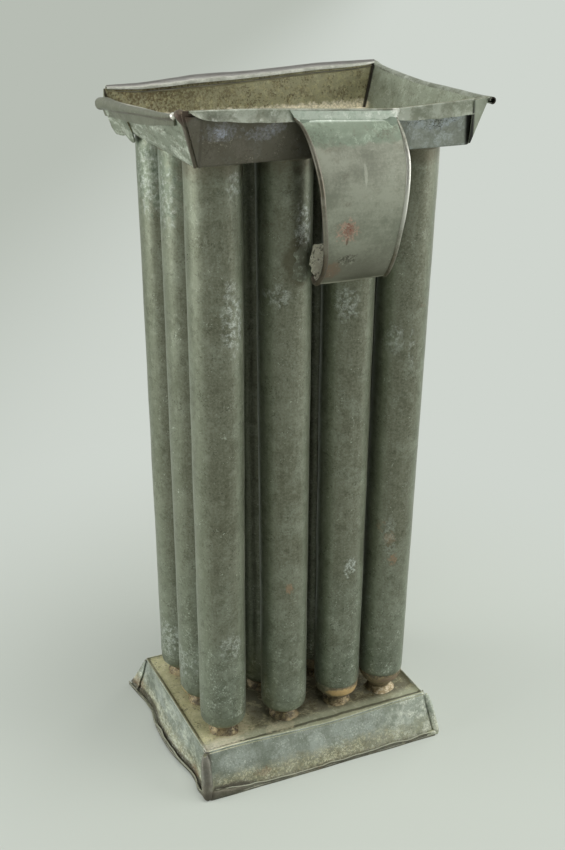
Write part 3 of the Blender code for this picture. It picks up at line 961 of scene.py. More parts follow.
def flap(pan, side, end, top, foot, span, stand, ragged=0.0):
    """A triangular corner flap at one end of a side, 1 or -1 for its larger or smaller place.

    It starts at the corner, and its free edge is top wide at the pan's free edge and foot
    wide at its crease. span is the part of the wall's height that it covers, and stand how
    far off the wall it is at the corner and at its free edge.
    """
    def point(share, t, raised):
        corner = pan.half(share)[side % 2] - FLAP_INSET * (2.6 - 1.6 * share)
        reach = mix(foot, top, share) + ragged * wobble((share * 30, side, end), 3, 4)
        place = end * (corner - reach * t)
        off = mix(*stand, t) * (0.3 + 0.7 * min(share * 3, 1))
        off += 0.12 * wobble((place, share * 14, side), 4, 8)
        return pan.spot(side, place, share, off + raised)

    return slab(evenly(*span, 13), 6, FLAP_SHEET, point)


EAR_START, EAR_END, EAR_TOP = 20.3, 41.0, 265.0
EAR = through((EAR_START, 258.0), (21.4, 255.0), (22.5, 253.9), (26, 253.6), (30.2, 255.1),
              (34, 254.6), (38.7, 254.2), (EAR_END, 256.3))


def ear_share(place, t):
    """The torn ear reaches from a ragged edge below the floor up to EAR_TOP."""
    low = EAR(place) + 0.45 * wobble((0, place, 0), 1.8, 3)
    return tray_share(LEFT, place, mix(low, EAR_TOP, t))


def ear_out(place, t):
    """The ear lies flat at its front end, and stands off and crumples further back."""
    crumple = 0.3 + 0.35 * (1 - t) + 0.15 * wobble((0, place, t * 3), 4, 2)
    return 0.05 + min(1.0, (place - EAR_START) / 5) * crumple


flaps = [
    flap(tray, FRONT, -1, 7.9, 0.5, (0.0, 0.9), (0.2, 0.45)),
    flap(tray, FRONT, 1, 6.6, 0.4, (0.05, 0.985), (0.15, 0.7)),
    flap(tray, BACK, 1, 8.0, 0.8, (0.02, 0.7), (0.15, 0.7)),
    plate_on(tray, LEFT, evenly(EAR_START, EAR_END, 44), ear_share, ear_out),
]


def corner_peak():
    """The thick fold at the front left corner: a ridge that swells into a rounded peak."""
    rings = []
    for t in evenly(0.0, 1.0, 24):
        z = TRAY_FLOOR + PEAK_HEIGHT * t
        half_x, half_y = tray.half((z - TRAY_FLOOR) / (FRONT_RIM(-57) - TRAY_FLOOR))
        swelling = swell(abs(t - 0.95), 0.3)
        size = (PEAK_FOOT + PEAK_SWELL * swelling) * rounding(t, 0.82, 0.0326, 0.0004)
        x, y = -half_x + 0.3 + 0.2 * swelling, -half_y + 0.2 + 3.2 * swelling

        def point(turn):
            lump = 1 + 0.08 * wobble((*polar(0, 0, 2, turn), z), 2, 6)
            return (x + size * 1.2 * lump * math.cos(turn),
                    y + size * (0.8 + 0.4 * swelling) * lump * math.sin(turn), z)

        rings.append(all_round(18, point))
    return loft(rings, capped=True)


tray_hem = build("tray_hem", [*BANDS, hem_fold()], sharp=50)
tray_flaps = build("tray_flaps", [*flaps, corner_peak()], sharp=50)
print("hem and flaps:", len(tray_hem.data.polygons) + len(tray_flaps.data.polygons), "faces")

# %% [markdown]
# ## The base
#
# The base is the same kind of pan, turned over, with a wide plate and low flaring sides. The
# crease round the plate was dressed over the edge of an anvil, so it stands up a little as
# a rounded line. The left end has been knocked in and out, and the flat hem at the foot
# opens in places.

# %% The base as a pan
BASE_TOP = 17.5
PLATE = 16.6
BASE_CREASE = (102.8, 74.6)
BASE_FOOT = (106.8, 91.0)
BASE_RADII = (0.9, 1.1, 1.1, 1.3)
LEFT_FOOT = through((-45, 0.2), (-38, 1.0), (-33, 0.2), (-27, 0.3), (-16, 2.6), (-4, 3.6),
                    (8, 2.9), (17, 1.0), (28, 0.9), (41, 2.6), (45, 3.2))
FRONT_CREASE_SAG = 1.1


def base_crease(x, y):
    sag = FRONT_CREASE_SAG * swell(abs(x - 6), 46) * swell(abs(y + BASE_CREASE[1] / 2), 14)
    return BASE_TOP - sag + 0.12 * wobble((x, y, 0), 11, 2)


def base_bulge(side, place, share):
    wave = 0.35 * wobble((place, side * 33.0, share * 9), 16, 1) * min(1.0, share * 2)
    if side == LEFT:
        wave += LEFT_FOOT(place) * share ** 1.6
    if side == FRONT:
        wave += 0.9 * swell(abs(place - 6), 46) * (1 - share) + 0.5 * math.sin(math.pi * share)
    if side == RIGHT:
        wave += 0.8 * swell(abs(place + 8), 30) * share
    if side == BACK:
        wave -= 0.6 * swell(abs(place - 10), 35) * share
    return wave


LEFT_LIFT = through((-45, 0.1), (-30, 0.3), (-20, 0.8), (-4, 1.2), (10, 0.9), (20, 0.2), (45, 0.1))
level_foot = through((-60, 0.12), (0, 0.12), (60, 0.12))
RIGHT_LIFT = through((-45, 0.1), (-20, 0.5), (5, 0.2), (30, 0.6), (45, 0.1))
base = Pan(BASE_CREASE, BASE_FOOT, base_crease, (level_foot, RIGHT_LIFT, level_foot, LEFT_LIFT),
           BASE_RADII, base_bulge)
print("base plate at", PLATE, "mm")

# %% [markdown]
# The plate dips a little inside its crease and waves faintly between the tips. Its shell is
# made in the same way as the tray's, and the holes for the tips' necks are punched through
# it.

# %% The base's shell
BASE_SHARES = (0.0, 0.05, 0.12, 0.25, 0.4, 0.55, 0.7, 0.82, 0.92, 1.0)
PLATE_INSETS = (9.0, 6.0, 4.2, 3.0, 2.2, 1.5, 0.9, 0.45)
NECK_RADIUS = 4.6
NECK_PLAY = 0.2
CREASE_FALL = 2.4


def plate_height(x, y):
    """The plate's top: down from the crease over CREASE_FALL, then nearly flat."""
    inset = min(BASE_CREASE[0] / 2 - abs(x), BASE_CREASE[1] / 2 - abs(y))
    edge = base_crease(x, y)
    fall = swell(max(inset, 0.0), CREASE_FALL)
    return mix(PLATE, edge, fall) + 0.1 * wobble((x, y, 4), 14, 7)


def plate_under(x, y):
    return plate_height(x, y) - SHEET


shell = shell_rings(base, PLATE_INSETS, BASE_SHARES, plate_height, plate_under, soft=0.8)
base_shell = build("base_shell", [loft(shell, capped=True)])
punch(base_shell, [tube_middle(*place, TUBE_FOOT) for place in TUBES], NECK_RADIUS + NECK_PLAY,
      PLATE - 4, PLATE + 4)
print("base shell:", len(base_shell.data.polygons), "faces")

# %% [markdown]
# The foot's hem is folded outward and hammered against the skirt. Its upper edge wanders,
# and a dark line shows where it stands off. Each front corner is a rounded fold with a
# swollen toe, thickest at the left, and flaps of spare sheet lie on the two ends. They are
# laid on like the tray's, and the folds are rings that swell and thin along a corner.

# %% The base's hem and pleats
FRONT_FOOT_HEM = through((-53, 3.9), (-45, 3.3), (-38.5, 2.7), (-30.6, 1.9), (-22.5, 1.7),
                         (-13, 1.5), (5, 1.6), (20, 1.7), (33, 2.4), (40, 1.6), (46, 2.4),
                         (53, 1.7))
LEFT_FOOT_HEM = through((-44, 2.4), (-30, 2.2), (-16, 2.9), (-4, 3.4), (8, 2.9), (18, 1.7),
                        (30, 1.5), (44, 1.8))
FOOT_HEM_SHEET = 0.65
LIP_RADIUS = 0.5


def foot_hem(side, upper, places, stand):
    """A hem along the foot. Its share runs from the upper free edge down to the fold."""
    def shares(place, t):
        foot = base.edge_z[side](place)
        top = base_crease(*base.spot(side, place, 0.0)[:2])
        z = upper(place) + 0.22 * wobble((place, 0, side), 4, 9)
        first = (top - z) / (top - foot)
        return mix(first, 1.0, t)

    def outs(place, t):
        return 0.12 + stand * (1 - t) ** 2 * (0.6 + 0.6 * wobble((place, 2, side), 7, 3))

    return plate_on(base, side, places, shares, outs, FOOT_HEM_SHEET)


def lip(side, start, end, count):
    """The rounded fold at the very foot of a hem."""
    return swept(base, side, evenly(start, end, count), lambda place, spot: all_round(
        10, lambda turn: (LIP_RADIUS * 1.15 * math.cos(turn),
                          max(spot[2] + LIP_RADIUS * (1 + math.sin(turn)) - 0.12, 0.02))),
                 out=0.15)


def corner_fold(end, wide, aside):
    """A rounded fold down one of the base's front corners: end is -1 for left, 1 for right."""
    rings = []
    for t in evenly(0.0, 1.0, 24):
        share = 0.03 + 0.96 * t
        x, y, z = base.spot(FRONT, end * base.half(share)[0], share, 0.0)
        size = wide * (0.62 + 0.5 * math.sin(math.pi * (0.1 + 0.6 * t))
                       + 0.06 * wobble((0, end, z), 3))
        size *= min(1.0, 0.55 + 3 * t) * rounding(t, 0.8, 0.042, 0.02)
        rings.append(all_round(16, lambda turn: (
            x + end * aside + size * math.cos(turn), y - 0.35 + size * 0.8 * math.sin(turn),
            max(z, 0.05))))
    return loft(rings, capped=True)


def toe(end, length, tall):
    """The swollen end of the front hem, where the corner's spare sheet is folded into it."""
    rings = []
    for t in evenly(0.0, 1.0, 26):
        place = end * (base.half(0.9)[0] + 0.9 - length * t)
        x, y, _ = base.spot(FRONT, place, 0.96)
        size = tall * math.sqrt(min(1.0, 0.02 + t * 6)) * (1 - 0.72 * t ** 0.8)
        size *= 1 + 0.1 * wobble((x, 0, end), 3, 7)
        rings.append(all_round(14, lambda turn: (
            x, y - 0.1 + size * 0.75 * math.cos(turn), size * (1 + math.sin(turn)) + 0.05)))
    return loft(rings, capped=True)


base_hem = build("base_foot_hem", [
    foot_hem(FRONT, FRONT_FOOT_HEM, evenly(-52.6, 52.9, 100), 0.8),
    foot_hem(LEFT, LEFT_FOOT_HEM, evenly(-44.5, 44.5, 80), 1.3),
    foot_hem(RIGHT, lambda y: 3.2, evenly(-44.0, 44.0, 60), 0.4),
    foot_hem(BACK, lambda x: 3.4, evenly(-52.0, 52.0, 80), 0.4),
    lip(FRONT, -52.9, 53.0, 90), lip(LEFT, -44.9, 44.9, 80),
    lip(RIGHT, -44.5, 44.5, 60), lip(BACK, -52.4, 52.4, 80),
], sharp=50)
base_flaps = build("base_pleats", [
    flap(base, LEFT, 1, 8.5, 1.2, (0.02, 0.9), (0.2, 0.5), ragged=0.5),
    flap(base, RIGHT, -1, 7.0, 1.0, (0.02, 0.93), (0.15, 0.5)),
    flap(base, RIGHT, 1, 7.0, 1.0, (0.02, 0.93), (0.15, 0.5)),
    corner_fold(-1, 2.2, 0.5), corner_fold(1, 1.3, 0.7), toe(-1, 21.0, 2.6), toe(1, 11.0, 1.6),
], sharp=50)
print("base hem:", len(base_hem.data.polygons) + len(base_flaps.data.polygons), "faces")

# %% [markdown]
# ## The tubes
#
# Each tube was rolled round a tapered rod and soldered along one lap, which shows as a small
# step. The sheet is thin, so the surface has shallow hollows that catch the light unevenly.
# A tapered cylinder with a displaced surface could give them, but rings of points can lean,
# lap and dent in one sum. All twelve are made by one function, each with hollows of its own.

# %% Tubes
TUBE_SIDES = 44
TUBE_RINGS = 34
SEAM_ANGLE = math.radians(25)
LAP_SPAN = math.radians(54)
PROUD = 0.5
FOOT_TURN = 1.6
LAP_CLOSING = 0.03
DENT_DEPTH, DENT_SIZE = 0.16, 8
RIPPLE_DEPTH, RIPPLE_SIZE = 0.05, 3


def tube_ring(column, row, z, shift, dented=True):
    """One ring of a tube, shift millimetres off its outer face. The last point closes the lap."""
    x0, y0 = tube_middle(column, row, z)
    ring = []
    for k in range(TUBE_SIDES + 1):
        turn = 2 * math.pi * k / TUBE_SIDES
        if k == TUBE_SIDES:
            turn -= LAP_CLOSING
        lap = LAP * max(0.0, 1 - turn / LAP_SPAN) if shift == 0 else 0.0
        angle = SEAM_ANGLE + turn
        radius = tube_radius(z) + shift + lap
        if dented:
            spot = (*polar(x0, y0, 9, angle), z * 0.45)
            dent = DENT_DEPTH * wobble(spot, DENT_SIZE, column + 4 * row)
            radius += dent + RIPPLE_DEPTH * wobble(spot, RIPPLE_SIZE, 7)
        if z < TUBE_FOOT + FOOT_TURN:
            radius -= (0.06 + 0.11 * column) * (1 - (z - TUBE_FOOT) / FOOT_TURN) ** 2
        ring.append((*polar(x0, y0, radius, angle), z))
    return ring


def make_tube(column, row):
    top = TRAY_FLOOR + SHEET + PROUD
    heights = [TUBE_FOOT + d for d in (0.0, 0.4, 0.9, FOOT_TURN)]
    heights += evenly(TUBE_FOOT + 4, top, TUBE_RINGS)
    rings = [tube_ring(column, row, z, 0.0) for z in heights]
    rings += [tube_ring(column, row, z, -SHEET, False) for z in evenly(top, TUBE_FOOT, 8)]
    rings.append(rings[0])
    return build(node_name("tin_tube", column, row), [loft(rings)])


tubes = {place: make_tube(*place) for place in TUBES}
print("tubes:", len(tubes), "with", sum(len(t.data.polygons) for t in tubes.values()), "faces")

# %% [markdown]
# ## The tips
#
# A hollow cone closes each tube's foot and ends in a short neck, which goes through the base
# plate and has the wick's hole in its end. The cones were turned by hand and soldered in, so
# the shoulder is soft and the neck a little lumpy. A Screw modifier would turn the outline
# into a perfect cone, so it is swung round point by point, and noise moves each point.

# %% Tips
TIP_SIDES = 28
WICK_HOLE = 1.2
TIP_END = PLATE - SHEET - 3.5
TIP_OUTLINE = (
    (8.5, 31.4, 0, 0), (8.5, 27.6, 0, 0), (9.1, 27.55, 0, 0.33), (9.1, 26.9, 1, 0.35),
    (8.95, 26.1, 1, 0.5), (8.5, 25.2, 1, 0.9), (7.8, 24.2, 1, 1.5), (6.9, 23.1, 2, 2.0),
    (6.0, 22.0, 2, 1.8), (5.3, 21.0, 3, 1.1), (4.9, 20.1, 3, 0.4), (4.7, 19.4, 3, 0.1),
    (4.6, 18.4, 2, 0), (4.6, 16.8, 0, 0), (4.6, 14.6, 0, 0), (4.55, TIP_END, 0, 0),
    (WICK_HOLE, TIP_END, 0, 0), (WICK_HOLE, TIP_END + SHEET, 0, 0), (4.0, TIP_END + SHEET, 0, 0),
    (4.0, 19.6, 0, 0), (7.7, 25.3, 0, 0), (7.95, 31.4, 0, 0),
)
FULLNESS = (1.0, 1.05, 0.8, 0.4)


def make_tip(column, row):
    """A tip from its outline of (radius, height, lumps, swelling). The left ones are fuller."""
    x0, y0 = tube_middle(column, row, TUBE_FOOT)
    rings = []
    for radius, z, lumps, swelling in TIP_OUTLINE:
        def point(angle):
            spot = (*polar(x0, y0, 8, angle), z)
            size = radius + swelling * FULLNESS[column]
            size += 0.11 * lumps * wobble(spot, 3.2, column + 5 * row)
            return *polar(x0, y0, size, angle), z

        rings.append(all_round(TIP_SIDES, point))
    rings.append(rings[0])
    return build(node_name("tin_tip", column, row), [loft(rings)])


tips = {place: make_tip(*place) for place in TUBES}
print("tips:", len(tips))

# %% [markdown]
# ## Solder round the tubes
#
# Solder was run round each tube under the tray, wiped round its mouth inside the tray, and
# piled round each neck on the base plate. A clean fillet would look machine made, so each
# ring's width and height wander with noise, and the collars slump towards the front.

# %% Solder rings
TOP_RING_SIDES, FOOT_RING_SIDES = 44, 40


def ring_of(column, row, z_middle, section, sides, seed):
    """A closed ring round a tube. section gives its (radius, z) points at an angle."""
    x0, y0 = tube_middle(column, row, z_middle)
    rings = all_round(sides, lambda angle: [(*polar(x0, y0, radius, angle), z)
                                            for radius, z in section(angle, seed)])
    rings.append(rings[0])
    return loft(rings)


def lumps(angle, reach, height, size, seed):
    """Noise that closes on itself round a ring."""
    return wobble((*polar(0, 0, reach, angle), height), size, seed)


def under_tray(angle, seed):
    inner = TUBE_TOP_RADIUS - 0.05
    leg = 1.15 + 0.35 * lumps(angle, 3, seed, 1.3, seed)
    top = TRAY_FLOOR - 0.02
    return [(inner, top - leg * 1.5), (inner + leg * 0.35, top - leg * 0.7),
            (inner + leg * 0.9, top - leg * 0.2), (inner + leg * 1.3, top), (inner, top)]


def round_mouth(angle, seed):
    lump = lumps(angle, 3, seed + 9, 1.1, seed)
    inner = TUBE_TOP_RADIUS - 0.1
    top = TRAY_FLOOR + SHEET - 0.02
    width = 1.5 + 0.6 * lump
    return [(inner, top), (inner, top + 0.42), (inner + width * 0.4, top + 0.34 + 0.1 * lump),
            (inner + width, top + 0.02), (inner + width, top)]


def on_plate(angle, seed):
    lump = lumps(angle, 3, seed * 2, 1.0, seed)
    big = lumps(angle, 3, seed, 2.6, seed + 20)
    front = max(0.0, -math.sin(angle))
    reach = 2.1 + 0.9 * big + 0.5 * lump + 0.6 * front
    rise = 2.5 + 0.8 * big + 0.3 * lump
    inner = NECK_RADIUS - 0.05
    points = [(inner, PLATE - 0.3), (inner, PLATE + rise)]
    for t in (0.12, 0.3, 0.5, 0.7, 0.88, 1.0):
        rough = 0.3 * lumps(angle, 9, t * 4 + seed, 1.6, 3)
        points.append((inner + reach * t,
                       PLATE - 0.25 + (rise + 0.25) * (1 - t) ** 1.5 + rough * (1 - t)))
    points.append((inner + reach, PLATE - 0.3))
    return points


top_rings, foot_rings = {}, {}
for number, place in enumerate(TUBES):
    lofts = [ring_of(*place, TRAY_FLOOR, section, TOP_RING_SIDES, number)
             for section in (under_tray, round_mouth)]
    top_rings[place] = build(node_name("solder_under_tray", *place), lofts, sharp=60)
    lofts = [ring_of(*place, TUBE_FOOT, on_plate, FOOT_RING_SIDES, number)]
    foot_rings[place] = build(node_name("solder_on_plate", *place), lofts, sharp=60)
print("solder rings:", len(top_rings) + len(foot_rings))

# %% [markdown]
# ## The handle
#
# The handle is one strap with both long edges rolled round into beads. Its top is lapped on
# the hem and soldered. From there it bows out, comes back in, and turns up under itself
# against the tubes. The bow is a Bezier curve with the CAD model's own pulls, and the two
# edges are curves of their own, because the strap narrows unevenly.

# %% The strap's line and width
STRAP = 0.7
STRAP_BEAD = 0.92
STRAP_CROWN = 0.3
LAP_Y = -44.35
LAP_BELOW_RIM = 0.35
LAP_LENGTH = 3.3
BOW_TOP = 268.2
LAP_FADE = 0.2
LAP_LEFT, LAP_RIGHT = (-20.9, -19.1), (20.3, 20.7)
LAP_BEAD = (0.3, 0.65)
FOOT_Z = 211.3
TURN_RADIUS = 2.3
TURN_UP = 11.2
LEAF_Y = -35.95
TOP_ANGLE = math.radians(46)
TURN_ANGLE = math.radians(37)
TOP_PULL = 17.5
FOOT_PULL = 21.5
LAP_STATIONS, BOW_STATIONS, TURN_STATIONS, LEAF_STATIONS = 7, 52, 9, 17
BEADED = range(5, LAP_STATIONS + BOW_STATIONS + TURN_STATIONS + 1)
FLAT_STEPS = 14
BEAD_SIDES = 16

LEFT_EDGE = through((0, -19.0), (0.02, -18.0), (0.083, -16.5), (0.145, -15.4), (0.233, -14.5),
                    (0.366, -13.3), (0.471, -12.6), (0.622, -11.1), (0.707, -10.0), (0.807, -8.8),
                    (0.922, -7.8), (1.0, -7.6))
LEAF_LEFT = through((213, -6.8), (216, -7.8), (219, -8.4), (222, -7.9), (225, -6.8))
RIGHT_EDGE = through((0, 20.7), (0.13, 21.7), (0.248, 22.2), (0.381, 21.6), (0.521, 20.8),
                     (0.674, 20.2), (0.85, 20.8), (1.0, 21.9))


def bezier(points, t):
    a, b, c, d = points
    s = 1 - t
    return a * s ** 3 + b * (3 * s * s * t) + c * (3 * s * t * t) + d * t ** 3


def strap_stations():
    """The strap's middle line, as (y, z, left edge, right edge, size of its beads, tilt).

    Where the tilt is 1, the strap follows the slope of the rim that it is lapped on.
    """
    bow_start = Vector((LAP_Y, BOW_TOP))
    heart = Vector((LEAF_Y - TURN_RADIUS, FOOT_Z + TURN_RADIUS))
    turn_start = heart - TURN_RADIUS * Vector((math.sin(TURN_ANGLE), math.cos(TURN_ANGLE)))
    away = Vector((-math.sin(TOP_ANGLE), -math.cos(TOP_ANGLE)))
    back_up = Vector((-math.cos(TURN_ANGLE), math.sin(TURN_ANGLE)))
    bow = (bow_start, bow_start + away * TOP_PULL, turn_start + back_up * FOOT_PULL, turn_start)
    stations = []
    for i in range(LAP_STATIONS):
        t = i / LAP_STATIONS
        stations.append((LAP_Y + 0.1 - 0.1 * t, BOW_TOP + LAP_LENGTH * (1 - t),
                         mix(*LAP_LEFT, t), mix(*LAP_RIGHT, t), mix(*LAP_BEAD, t), 1.0))
    for i in range(BOW_STATIONS):
        t = i / BOW_STATIONS
        spot = bezier(bow, t)
        size = min(1.0, LAP_BEAD[1] + 2 * t)
        stations.append((spot.x, spot.y, LEFT_EDGE(t), RIGHT_EDGE(t), size, swell(t, LAP_FADE)))
    for i in range(TURN_STATIONS):
        angle = mix(-TURN_ANGLE, math.pi / 2, i / TURN_STATIONS)
        spot = heart + TURN_RADIUS * Vector((math.sin(angle), -math.cos(angle)))
        stations.append((spot.x, spot.y, LEFT_EDGE(1), RIGHT_EDGE(1), 0.95 - 0.04 * i, 0.0))
    for t in evenly(0.0, 1.0, LEAF_STATIONS):
        z = heart.y + TURN_UP * t
        stations.append((LEAF_Y, z, LEAF_LEFT(z) + 0.9 * wobble((0, 0, z), 1.3), RIGHT_EDGE(1),
                         0.4, -t))
    return stations


def lap_lift(x, tilt):
    """How far the strap is raised at an X: by the rim's slope at its lap, raggedly at its end."""
    if tilt < 0:
        return -tilt * (0.7 * wobble((x, 0, 0), 1.7, 4) - 0.02 * x)
    return tilt * (FRONT_RIM(x) - LAP_BELOW_RIM - LAP_LENGTH - BOW_TOP)


def strap_section(left, right, size):
    """Points round the flat of the strap, as (across, out), from bead to bead and back."""
    bead = STRAP_BEAD * size
    half = STRAP / 2
    start, end = right - bead, left + bead
    there = [i / FLAT_STEPS for i in range(FLAT_STEPS + 1)]
    back = [1 - t for t in there]
    return [(mix(start, end, t), low + STRAP_CROWN * math.sin(math.pi * t) ** 0.6)
            for way, low in ((there, half * 0.8), (back, -half)) for t in way]


def bent(stations, i, across, rise):
    """The point across the strap at a station, raised off its middle line."""
    y, z, *_, tilt = stations[i]
    before, after = stations[max(i - 1, 0)], stations[min(i + 1, len(stations) - 1)]
    along = Vector((after[0] - before[0], after[1] - before[1])).normalized()
    out = Vector((along.y, -along.x))
    rise += 0.1 * wobble((across, z, y), 9, 2)
    return across, y + out.x * rise, z + out.y * rise + lap_lift(across, tilt)


def strap_bead(stations, side):
    """A rolled edge: a round bead down one side of the bow, closed at both ends."""
    rings = []
    for i in BEADED:
        left, right, size = stations[i][2:5]
        bead = STRAP_BEAD * size * (1 + 0.07 * wobble((0, side * 9, i), 6, 3))
        middle = right - bead if side > 0 else left + bead
        rings.append(all_round(BEAD_SIDES, lambda turn: bent(
            stations, i, middle + side * bead * math.cos(turn), bead * math.sin(turn))))
    return loft(rings, capped=True)


stations = strap_stations()
rings = [[bent(stations, i, *point) for point in strap_section(*station[2:5])]
         for i, station in enumerate(stations)]
strap = build("strap_handle", [loft(rings, capped=True)], sharp=50)
beads = build("strap_rolled_edges", [strap_bead(stations, side) for side in (-1, 1)], sharp=50)
print("strap:", len(strap.data.polygons) + len(beads.data.polygons), "faces")

# %% [markdown]
# The strap's solder is in three places. A bead lies along the crease below the lap. At the
# foot, a rough patch joins the leaf's left edge to a tube, and a smear fills the cleft
# between the leaf and the tube at its right. Metaballs would look like drops. These are
# skins of uneven thickness, which end where they sink into the tin, as melted solder does.

# %% Solder on the handle
CREASE_ENDS = (-17.3, 20.6)


def crease_bead():
    """A thin bead along the lap's foot, thicker and thinner as the iron moved."""
    rings = []
    for x in evenly(*CREASE_ENDS, 80):
        size = max(0.42 + 0.5 * wobble((x, 0, 0), 5, 3) + 0.2 * wobble((x, 0, 0), 1.7, 5), 0.1)
        size *= 1 + 0.9 * swell(abs(x - 18.5), 5)
        y, z = LAP_Y - 0.32, BOW_TOP + lap_lift(x, 1.0)
        rings.append([(x, y + 0.1, z + 1.5 * size), (x, y - 0.22 * size, z + 0.8 * size),
                      (x, y - 0.5 * size, z + 0.1 * size), (x, y - 1.0 * size, z - 0.55 * size),
                      (x, y - 1.5 * size, z - 1.35 * size), (x, y - 0.4, z - 1.4),
                      (x, y + 0.2, z - 0.5)])
    return loft(rings, capped=True)


def tube_front(column, x, z):
    """The Y of a front tube's outer face at an X and a height."""
    x0, y0 = tube_middle(column, 0, z)
    radius = tube_radius(z)
    return y0 - math.sqrt(max(radius ** 2 - (x - x0) ** 2, 0.0))


def rough_patch(column, left, right, low, high, lift, seed):
    """A lumpy skin of solder on a front tube. Its border sinks into the tube, so it is ragged."""
    def point(t, s, raised):
        x, z = mix(left, right, s), mix(low, high, t)
        y = tube_front(column, x, z)
        if not raised:
            return x, y + 0.45, z
        rise = math.sin(math.pi * t) ** 0.7 * math.sin(math.pi * (0.08 + 0.7 * s))
        thick = -0.32 + (lift + 0.35) * rise + 0.4 * wobble((x, 0, z), 3.0, seed)
        thick += 0.12 * wobble((x, 0, z), 0.9, seed + 3) * rise
        return x, y - thick, z

    return slab(evenly(0.0, 1.0, 31), 12, 1.0, point)


crease_solder = build("solder_in_crease", [crease_bead()], sharp=60)
left_patch = rough_patch(1, -14.5, -8.0, 210.5, 226.5, lift=0.5, seed=1)
right_patch = rough_patch(2, 15.2, 22.0, 212.0, 227.5, lift=0.6, seed=2)
left_solder = build("solder_left_of_leaf", [left_patch], sharp=60)
right_solder = build("solder_in_cleft", [right_patch], sharp=60)
print("solder in the crease:", len(crease_solder.data.polygons), "faces")

# %% [markdown]
# ## The tin
#
# New tinplate is bright. On this one the tin has dulled to a grey green crust, cloudy from
# place to place, and worn through to a darker metal where hands and wax have rubbed it.
# Small ragged specks, pale and dark, cover it all. Painted images would do, but they need
# unwrapped meshes and blur close up. Noise in millimetres does neither. One class makes
# this ground, and each part lays its own stains and rust on it, and in places painted
# light and shade.

# %% Old tin
RUST_DARK = (92, 76, 58)
RUST_LIGHT = (148, 128, 96)


class Tin(Finish):
    """Old tin: a cloudy ground of two tones, with stains, rust and painted light laid on in order.
    """

    def __init__(self, name, dark, pale, seed=0, cloud=11.0, cloudy=1.0, streak=0.0,
                 run=(1, 1, 16)):
        super().__init__(name)
        clouds = self.noise(cloud, 6, 0.6, warp=0.4, seed=seed)
        self.grain = self.noise(0.9, 4, 0.7, seed=seed + 2)
        tone = (clouds - 0.5) * cloudy + 0.5 + (self.grain - 0.5) * 0.5
        if streak:
            tone = tone + (self.noise(1.5, 4, 0.6, stretch=run, seed=seed + 4) - 0.5) * streak
        self.crust = self.step(tone, 0.34, 0.66)
        self.tint = self.blend(self.crust, dark, pale)
        self.rusty = self.crust * 0.0
        self.relief = self.grain * 0.6 + clouds * 0.4

    def lay_stain_or_painted_light(self, mask, shade, *limits):
        """Lays a stain, or painted light or shade, where the mask is. Each limit given scales the
        mask.
        """
        for limit in limits:
            mask = mask * limit if limit else mask
        self.tint = self.blend(mask, self.tint, shade)

    def peaks(self, gain, loss):
        """The peaks of the ground's grain, from 0 to 1."""
        return (self.grain * gain - loss).clipped()

    def spot(self, shade, place, radius, squeeze=(1, 1, 1), ragged=0.5, size=3.0, seed=0,
             near=None, peaks=None, strength=None):
        """A stain or painted light round a place. Where peaks are given, only the grain's peaks
        take it.
        """
        mask = self.patch(place, radius, squeeze, ragged, size, seed)
        self.lay_stain_or_painted_light(mask, shade, near, self.peaks(*peaks) if peaks else None, strength)

    def specks_of(self, shade, size, amount, gather=0.5, strength=0.8, seed=0, near=None):
        """Small ragged marks. They gather in some places and leave others clean."""
        level = 0.56 - 0.3 * (amount - 0.5)
        marks = self.noise(size, 4, 0.7, seed=seed + 6)
        where = self.noise(size * 7, 3, 0.6, seed=seed + 7)
        marks = self.step(marks + (where - 0.5) * gather, level, level + 0.1)
        if near:
            marks = marks * near
        self.lay_stain_or_painted_light(marks * strength, shade)
        self.relief = self.relief + marks * (0.5 * strength)

    def frost(self, shade, reach, amount, strength=0.5, seed=0, near=None, stretch=(1, 1, 1)):
        """Pale salts: hazy patches about reach millimetres wide, made of fine grains."""
        patches = self.step(self.noise(reach, 4, 0.6, stretch, seed=seed + 8),
                            0.66 - amount * 0.3, 0.74 - amount * 0.2)
        grains = self.step(self.noise(0.75, 4, 0.75, stretch, seed=seed + 9), 0.4, 0.62)
        mask = patches * (grains * 0.75 + 0.25)
        if near:
            mask = mask * near
        self.lay_stain_or_painted_light(mask * strength, shade)
        self.relief = self.relief + mask * 0.4

    def cracks(self, shade, size, strength=0.6, seed=0, near=None):
        """Thin dark lines that wander, like the cracks in a dry crust."""
        level = self.noise(size, 4, 0.6, warp=0.6, seed=seed) - 0.5
        level = level.math("ABSOLUTE", level)
        self.lay_stain_or_painted_light(self.step(level, 0.018, 0.006), shade, near, strength)

    def rust(self, mask, seed=0):
        """Rust is rough and no longer metal. Its two browns change over a few millimetres."""
        shade = self.blend(self.step(self.noise(2.0, 4, 0.7, seed=seed + 3), 0.4, 0.6),
                           RUST_DARK, RUST_LIGHT)
        self.lay_stain_or_painted_light(mask, shade)
        self.rusty = self.rusty.more(mask)

    def line(self, start, end, width, shade, strength=0.9, near=None):
        """A stain, or painted light or shade, along the straight line through two places on the
        mould.
        """
        mask = self.step(self.beside(start, end), width, width * 0.45)
        self.lay_stain_or_painted_light(mask, shade, strength, near)

    def done(self, metal=0.65, rough=(0.42, 0.62), depth=0.05):
        bare = 1.0 - self.rusty
        self.set(base_color=self.tint,
                 metallic=bare * self.fade(self.crust, metal, metal * 0.6),
                 roughness=self.fade(self.crust, *rough) + self.rusty * 0.2,
                 specular_ior_level=0.35,
                 normal=self.bump(self.relief + self.rusty * self.grain * 0.8, depth))


print("rust runs from", RUST_DARK, "to", RUST_LIGHT)

# %% [markdown]
# The tubes are the darkest part, olive above and bluer below, where pale salts have crept
# up from the base. Faint runs go down them. The second front tube has a dark stain beside
# the handle's foot, left by the flux. One finish serves all twelve, because its masks go by
# the place on the mould and not by the tube.

# %% The tubes' finish
# Far places in the directions of the right and left lamps.
PAINTED_LIGHT_FROM = ((4000, -1500, 130), (-4000, 200, 130))

